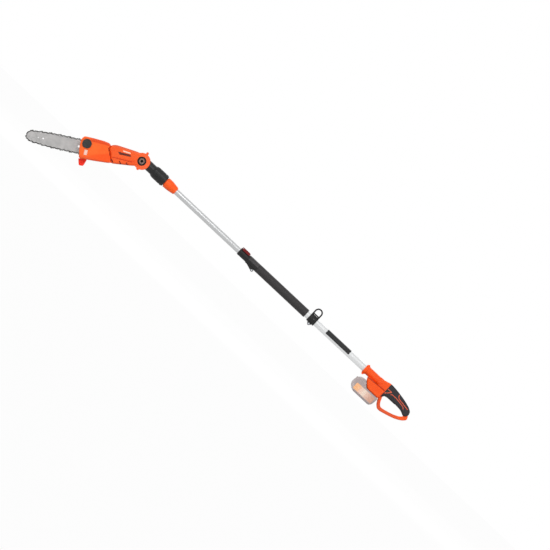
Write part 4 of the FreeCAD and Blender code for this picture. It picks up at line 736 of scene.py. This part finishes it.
# ---------------------------------------------------------------- tubes
# Drawn aluminium, satin anodised, with fine lengthwise drawing lines and light sliding scuffs.
# The inner tube slides in the outer one and is a little darker.
def anodised(name, dark, light):
    finish = Finish(name, Metallic=0.8, Roughness=0.25)
    drawn = finish.grain(60.0, detail=2.0, rough=0.5, at=finish.place(scale=(0.02, 6.0, 6.0)))
    scuffs = finish.grain(60.0, detail=2.0, at=finish.place(scale=(0.05, 4.0, 4.0)))
    colour = finish.mix(finish.ramp(drawn, 0.3, 0.7), tint(*dark), tint(*light))
    colour = finish.mix(finish.ramp(scuffs, 0.6, 0.75) * 0.2, colour, tint(172, 173, 176))
    finish.feed("Base Color", colour)
    finish.feed("Roughness", 0.28 + 0.04 * drawn)
    finish.feed("Normal", finish.bump(drawn, 0.000004, 0.3))
    return finish


coat(anodised("inner_anodised", (188, 189, 190), (196, 197, 197)), "inner_tube")
coat(anodised("outer_anodised", (217, 218, 219), (223, 224, 224)), "outer_tube")


# ---------------------------------------------------------------- tube label
# Plain black vinyl with rounded corners, wrapped over the upper near side of the outer tube
# and rubbed a little by hands.
def wrapped(x0, x1, radius, low, high, thick, corner):
    """A thin panel bent round the pole's axis between two angles, from the near side up."""
    shape = bmesh.new()
    low, high = math.radians(low), math.radians(high)
    start_y, start_z = -radius * math.cos(low), radius * math.sin(low)
    ends = [shape.verts.new((x, start_y, start_z)) for x in (x0, x1)]
    edge = shape.edges.new(ends)
    bmesh.ops.subdivide_edges(shape, edges=[edge], cuts=24)
    bmesh.ops.spin(shape, geom=shape.verts[:] + shape.edges[:], cent=(0.0, 0.0, 0.0),
                   axis=(1.0, 0.0, 0.0), angle=low - high, steps=36, use_merge=False)
    corners = [vert for vert in shape.verts if len(vert.link_edges) == 2]
    bmesh.ops.bevel(shape, geom=corners, offset=corner, segments=4, profile=0.5,
                    affect="VERTICES", material=-1)
    bmesh.ops.recalc_face_normals(shape, faces=shape.faces)
    first = shape.faces[0]
    middle = first.calc_center_median()
    if first.normal.y * middle.y + first.normal.z * middle.z < 0:
        bmesh.ops.reverse_faces(shape, faces=shape.faces)
    bmesh.ops.solidify(shape, geom=shape.faces[:], thickness=-thick)
    bmesh.ops.scale(shape, vec=(0.001, 0.001, 0.001), verts=shape.verts)
    bmesh.ops.translate(shape, vec=on_pole(0.0, 0.0, 0.0), verts=shape.verts)
    return shape


vinyl = Finish("black_vinyl", Roughness=0.3, Specular_IOR_Level=0.4)
vinyl_rub = vinyl.grain(300.0, detail=6.0)
vinyl_colour = vinyl.mix(vinyl.ramp(vinyl_rub, 0.6, 0.75) * 0.3, tint(20, 20, 21), tint(70, 70, 72))
vinyl.feed("Base Color", vinyl_colour)
vinyl.feed("Roughness", 0.24 + 0.2 * vinyl_rub)
label = wrapped(x0=1005.0, x1=1131.0, radius=14.85, low=-20, high=150, thick=0.18, corner=2.5)
finish_piece("tube_label", label, vinyl, "handle")

# ---------------------------------------------------------------- clamp panel and cam lever
# A smoother inset panel on the near side of the clamp housing, painted paler grey as sheen, and
# the dark red cam lever that squeezes the collet on the inner tube.
# painted sheen: the panel's grey is lighter than the housing's black
panel_sheen, _ = dark_moulding("panel_nylon", (52, 50, 51), (64, 62, 63), 0.34)
panel = wrapped(x0=580.0, x1=629.0, radius=18.05, low=2, high=62, thick=0.35, corner=2.0)
finish_piece("lock_panel", panel, panel_sheen, "handle")
dark_red, _ = shell_finish("dark_red_nylon", (116, 16, 16), (98, 12, 12), (150, 60, 56))
coat(dark_red, "lock_lever")

# ---------------------------------------------------------------- foam grip
# Closed-cell foam sleeve pushed over the outer tube, with fine open pores, a soft sheen and
# paler places where a hand has polished it.
foam = Finish("grip_foam", Roughness=0.6, Specular_IOR_Level=0.28)
pores = foam.cells(900.0)
polish = foam.grain(60.0, detail=5.0)
foam_colour = foam.mix(foam.ramp(pores, 0.05, 0.45), tint(25, 24, 25), tint(50, 48, 49))
foam_colour = foam.mix(foam.ramp(polish, 0.5, 0.7) * 0.3, foam_colour, tint(66, 64, 64))
foam.feed("Base Color", foam_colour)
foam.feed("Roughness", 0.46 + 0.2 * polish)
foam.feed("Normal", foam.bump(pores, 0.0003, 0.7))
coat(foam, "foam_grip")

# ---------------------------------------------------------------- strap clamp and hoop
# Black coated wire hoop held in a nylon band, with pale films round the hoop's ends as a painted
# highlight, and a grey rivet on the near side of the band.
coated_wire, _ = dark_moulding("powder_coat", (24, 24, 25), (34, 34, 35), 0.38)
coat(coated_wire, "strap_hoop")
# painted highlight: pale films where the clamp's top catches the light
highlight_film = print_film("pale_highlight", (196, 194, 192), 0.4)
highlight_low, highlight_high = 18.2, 20.2
outside_pad, outside_band = -9.0, -18.0
for name, x0, x1 in (("hoop_highlight_front", 922.0, 928.5), ("hoop_highlight_rear", 931.5, 938.0)):
    outline = ((x0, highlight_low), (x1, highlight_low), (x1, highlight_high), (x0, highlight_high))
    corners = [on_pole(x, outside_pad, z) for x, z in outline]
    finish_piece(name, film(corners, "strap_clamp"), highlight_film, "handle")
rivet_x, rivet_z, rivet_radius = 933.5, 3.8, 1.8
rivet_rim = []
for degrees in range(0, 360, 20):
    angle = math.radians(degrees)
    rivet_rim.append(on_pole(rivet_x + rivet_radius * math.cos(angle), outside_band,
                             rivet_z + rivet_radius * math.sin(angle)))
rivet_finish = print_film("grey_rivet", (96, 96, 97), 0.4)
finish_piece("band_rivet", film(rivet_rim, "strap_clamp", thick=0.0005), rivet_finish,
             "handle")

# ---------------------------------------------------------------- handle screws
# Star sockets in the six screws that hold the handle shells together, driven in from the far
# side as in the head.
shell_screws = ((1320, 13), (1288, -27), (1264, -26), (1396, 8), (1440, -8), (1462, -24))
# black discs as painted shade for the sockets of the handle screws
finish_piece("handle_screw_sockets", star_sockets(shell_screws, 10.4, on_pole), socket_shade,
             "handle")

# ---------------------------------------------------------------- handle shells
# Two orange half shells with barrel, battery foot and hand loop in one. They are black under
# the soft grip, which laps over their rounded edges, and a dark line of painted shade runs along
# the step between barrel and foot.
handle_nylon, handle_colour = shell_finish("handle_nylon", orange_bright, orange_deep,
                                           orange_scuff)
handle_x, _, handle_z = parts_of(along_pole(handle_nylon))
core = handle_x.between(1.352, 1.449) * (handle_z > -0.030)
neck = handle_x.between(1.3385, 1.3535)
neck = neck * (handle_z > line_over(handle_x, (1.3527, -0.0248), 0.993))
tail = (handle_x > 1.446) * (handle_z > -0.0345)
tail = tail * (handle_z > line_over(handle_x, (1.4603, -0.0326), 0.894))
under_rubber = (core + neck + tail).clamped()
loop = handle_nylon.ramp(-0.052 - handle_z, 0.0, 0.006) * (handle_x > 1.338)
crease_half_width = 0.0023
off_crease = handle_z - line_over(handle_x, (1.256, -0.0164), 0.071)
crease_shade = (off_crease.unsigned() < crease_half_width) * handle_x.between(1.244, 1.336)
handle_colour = handle_nylon.mix(loop * 0.55, handle_colour, tint(206, 84, 54))
# painted shade along the step between barrel and foot
handle_colour = handle_nylon.mix(crease_shade * 0.7, handle_colour, tint(142, 24, 4))
handle_colour = handle_nylon.mix(under_rubber, handle_colour, tint(38, 36, 39))
handle_nylon.feed("Base Color", handle_colour)
coat(handle_nylon, "handle_shell_near", "handle_shell_far")


# ---------------------------------------------------------------- soft grip covers
# Thermoplastic rubber with a stippled surface, moulded over the handle shells, with thin
# orange lines let into the near one.
def stripe(points, width):
    """Corners of a stripe of even width along a line of (x, z) points."""
    upper = []
    lower = []
    for i, point in enumerate(points):
        before = Vector(points[max(i - 1, 0)])
        after = Vector(points[min(i + 1, len(points) - 1)])
        run = after - before
        across = Vector((-run.y, run.x)).normalized() * width / 2
        upper.append(Vector(point) + across)
        lower.append(Vector(point) - across)
    return upper + lower[::-1]


rubber = Finish("grip_rubber", Roughness=0.62, Specular_IOR_Level=0.3)
stipple = rubber.cells(700.0)
patches = rubber.grain(24.0, detail=4.0)
rubber_colour = rubber.mix(rubber.ramp(patches, 0.3, 0.7), tint(32, 30, 33), tint(46, 43, 47))
rubber.feed("Base Color", rubber_colour)
rubber.feed("Roughness", 0.5 + 0.2 * patches)
rubber.feed("Normal", rubber.bump(stipple, 0.0002, 0.6))
coat(rubber, "grip_skin_near", "grip_skin_far")

line_orange = print_film("stripe_orange", (222, 96, 64), 0.4)
flat_line, raised_line = 0.00025, 0.0003
grip_lines = {
    "grip_line_front": (2.4, flat_line, [(1340.0, 3.4), (1351.0, 3.5), (1361.0, 3.4)]),
    "grip_line_slant": (4.0, raised_line, [(1360.6, 2.6), (1352.0, -6.5), (1341.5, -17.5)]),
    "grip_line_top": (2.8, flat_line, [(1390.0, 18.0), (1393.5, 10.0), (1401.0, 3.9),
                                       (1424.0, 0.9), (1455.0, -4.3)]),
    "grip_line_low": (2.6, flat_line, [(1363.8, -7.0), (1368.5, -1.6), (1391.5, -1.7),
                                       (1412.0, -4.4), (1433.5, -8.7), (1441.0, -15.5)]),
}
outside_grip = -17.0
for name, (width, thick, points) in grip_lines.items():
    corners = [on_pole(x, outside_grip, z) for x, z in stripe(points, width)]
    finish_piece(name, film(corners, "grip_skin_near", thick=thick), line_orange,
                 "handle")

# ---------------------------------------------------------------- battery pack
# Two pale moulded halves around ten cells, with a push button at the front and a shoulder
# that fills the corner before the handle's foot. The rounded nose has a painted highlight.
pale = Finish("pale_pack", Roughness=0.5)
mottle = pale.grain(30.0, detail=3.0)
pack_x, _, pack_z = parts_of(along_pole(pale))
nose_x, nose_z = 1.239, -0.058
from_nose = reach(pack_x - nose_x, pack_z - nose_z)
nose_highlight = pale.ramp(from_nose, 0.018, 0.025) * (pack_x < 1.24)
pack_colour = pale.mix(mottle, tint(160, 148, 148), tint(174, 160, 158))
# painted highlight on the rounded nose
pack_colour = pale.mix(nose_highlight * 0.5, pack_colour, tint(204, 192, 190))
pale.feed("Base Color", pack_colour)
pale.feed("Roughness", 0.44 + 0.12 * mottle)
pale.feed("Normal", pale.bump(pale.grain(1000.0), 0.00006, 0.6))
coat(pale, "battery_lower", "battery_upper", "battery_button")
shoulder_outline = [(1240, -30.6), (1248, -30.2), (1254.2, -30.0), (1260.2, -39.6),
                    (1276, -53.2), (1276, -58), (1262, -58), (1246, -44)]
finish_piece("pack_shoulder", slab(shoulder_outline, -35.5, 35.5, on_pole, edge=2.0), pale,
             "battery")

# ---------------------------------------------------------------- panel on the battery pack
# A blank panel printed on the near side of the pack, with rounded corners, fading from peach
# at the front through cream to tan.
panel_front, panel_rear = 1233, 1328
panel_top, panel_bottom = -60.3, -88.8
outside_pack = -37.0
panel_ink = Finish("pack_label", Roughness=0.4, Specular_IOR_Level=0.3)
panel_x, _, _ = parts_of(along_pole(panel_ink))
flecks = panel_ink.grain(200.0, detail=5.0)
panel_stops = [(0.0, tint(244, 180, 128)), (0.20, tint(244, 184, 134)),
               (0.31, tint(232, 192, 174)), (0.50, tint(236, 216, 198)),
               (0.62, tint(224, 188, 170)), (0.80, tint(210, 166, 146)),
               (1.0, tint(202, 152, 128))]
along_panel = panel_ink.ramp(panel_x, panel_front / 1000, panel_rear / 1000)
panel_colour = panel_ink.add("ShaderNodeValToRGB", {"stops": panel_stops}, {0: along_panel})
panel_colour = panel_ink.mix(panel_ink.ramp(flecks, 0.5, 0.7) * 0.2, panel_colour,
                             tint(244, 226, 214))
panel_ink.feed("Base Color", panel_colour)
panel_ink.feed("Roughness", 0.32 + 0.2 * flecks)
outline = ((panel_front, panel_top), (panel_rear, panel_top), (panel_rear, panel_bottom),
           (panel_front, panel_bottom))
corners = [on_pole(x, outside_pack, z) for x, z in outline]
finish_piece("battery_label", film(corners, "battery_lower", corner=0.004), panel_ink,
             "battery")
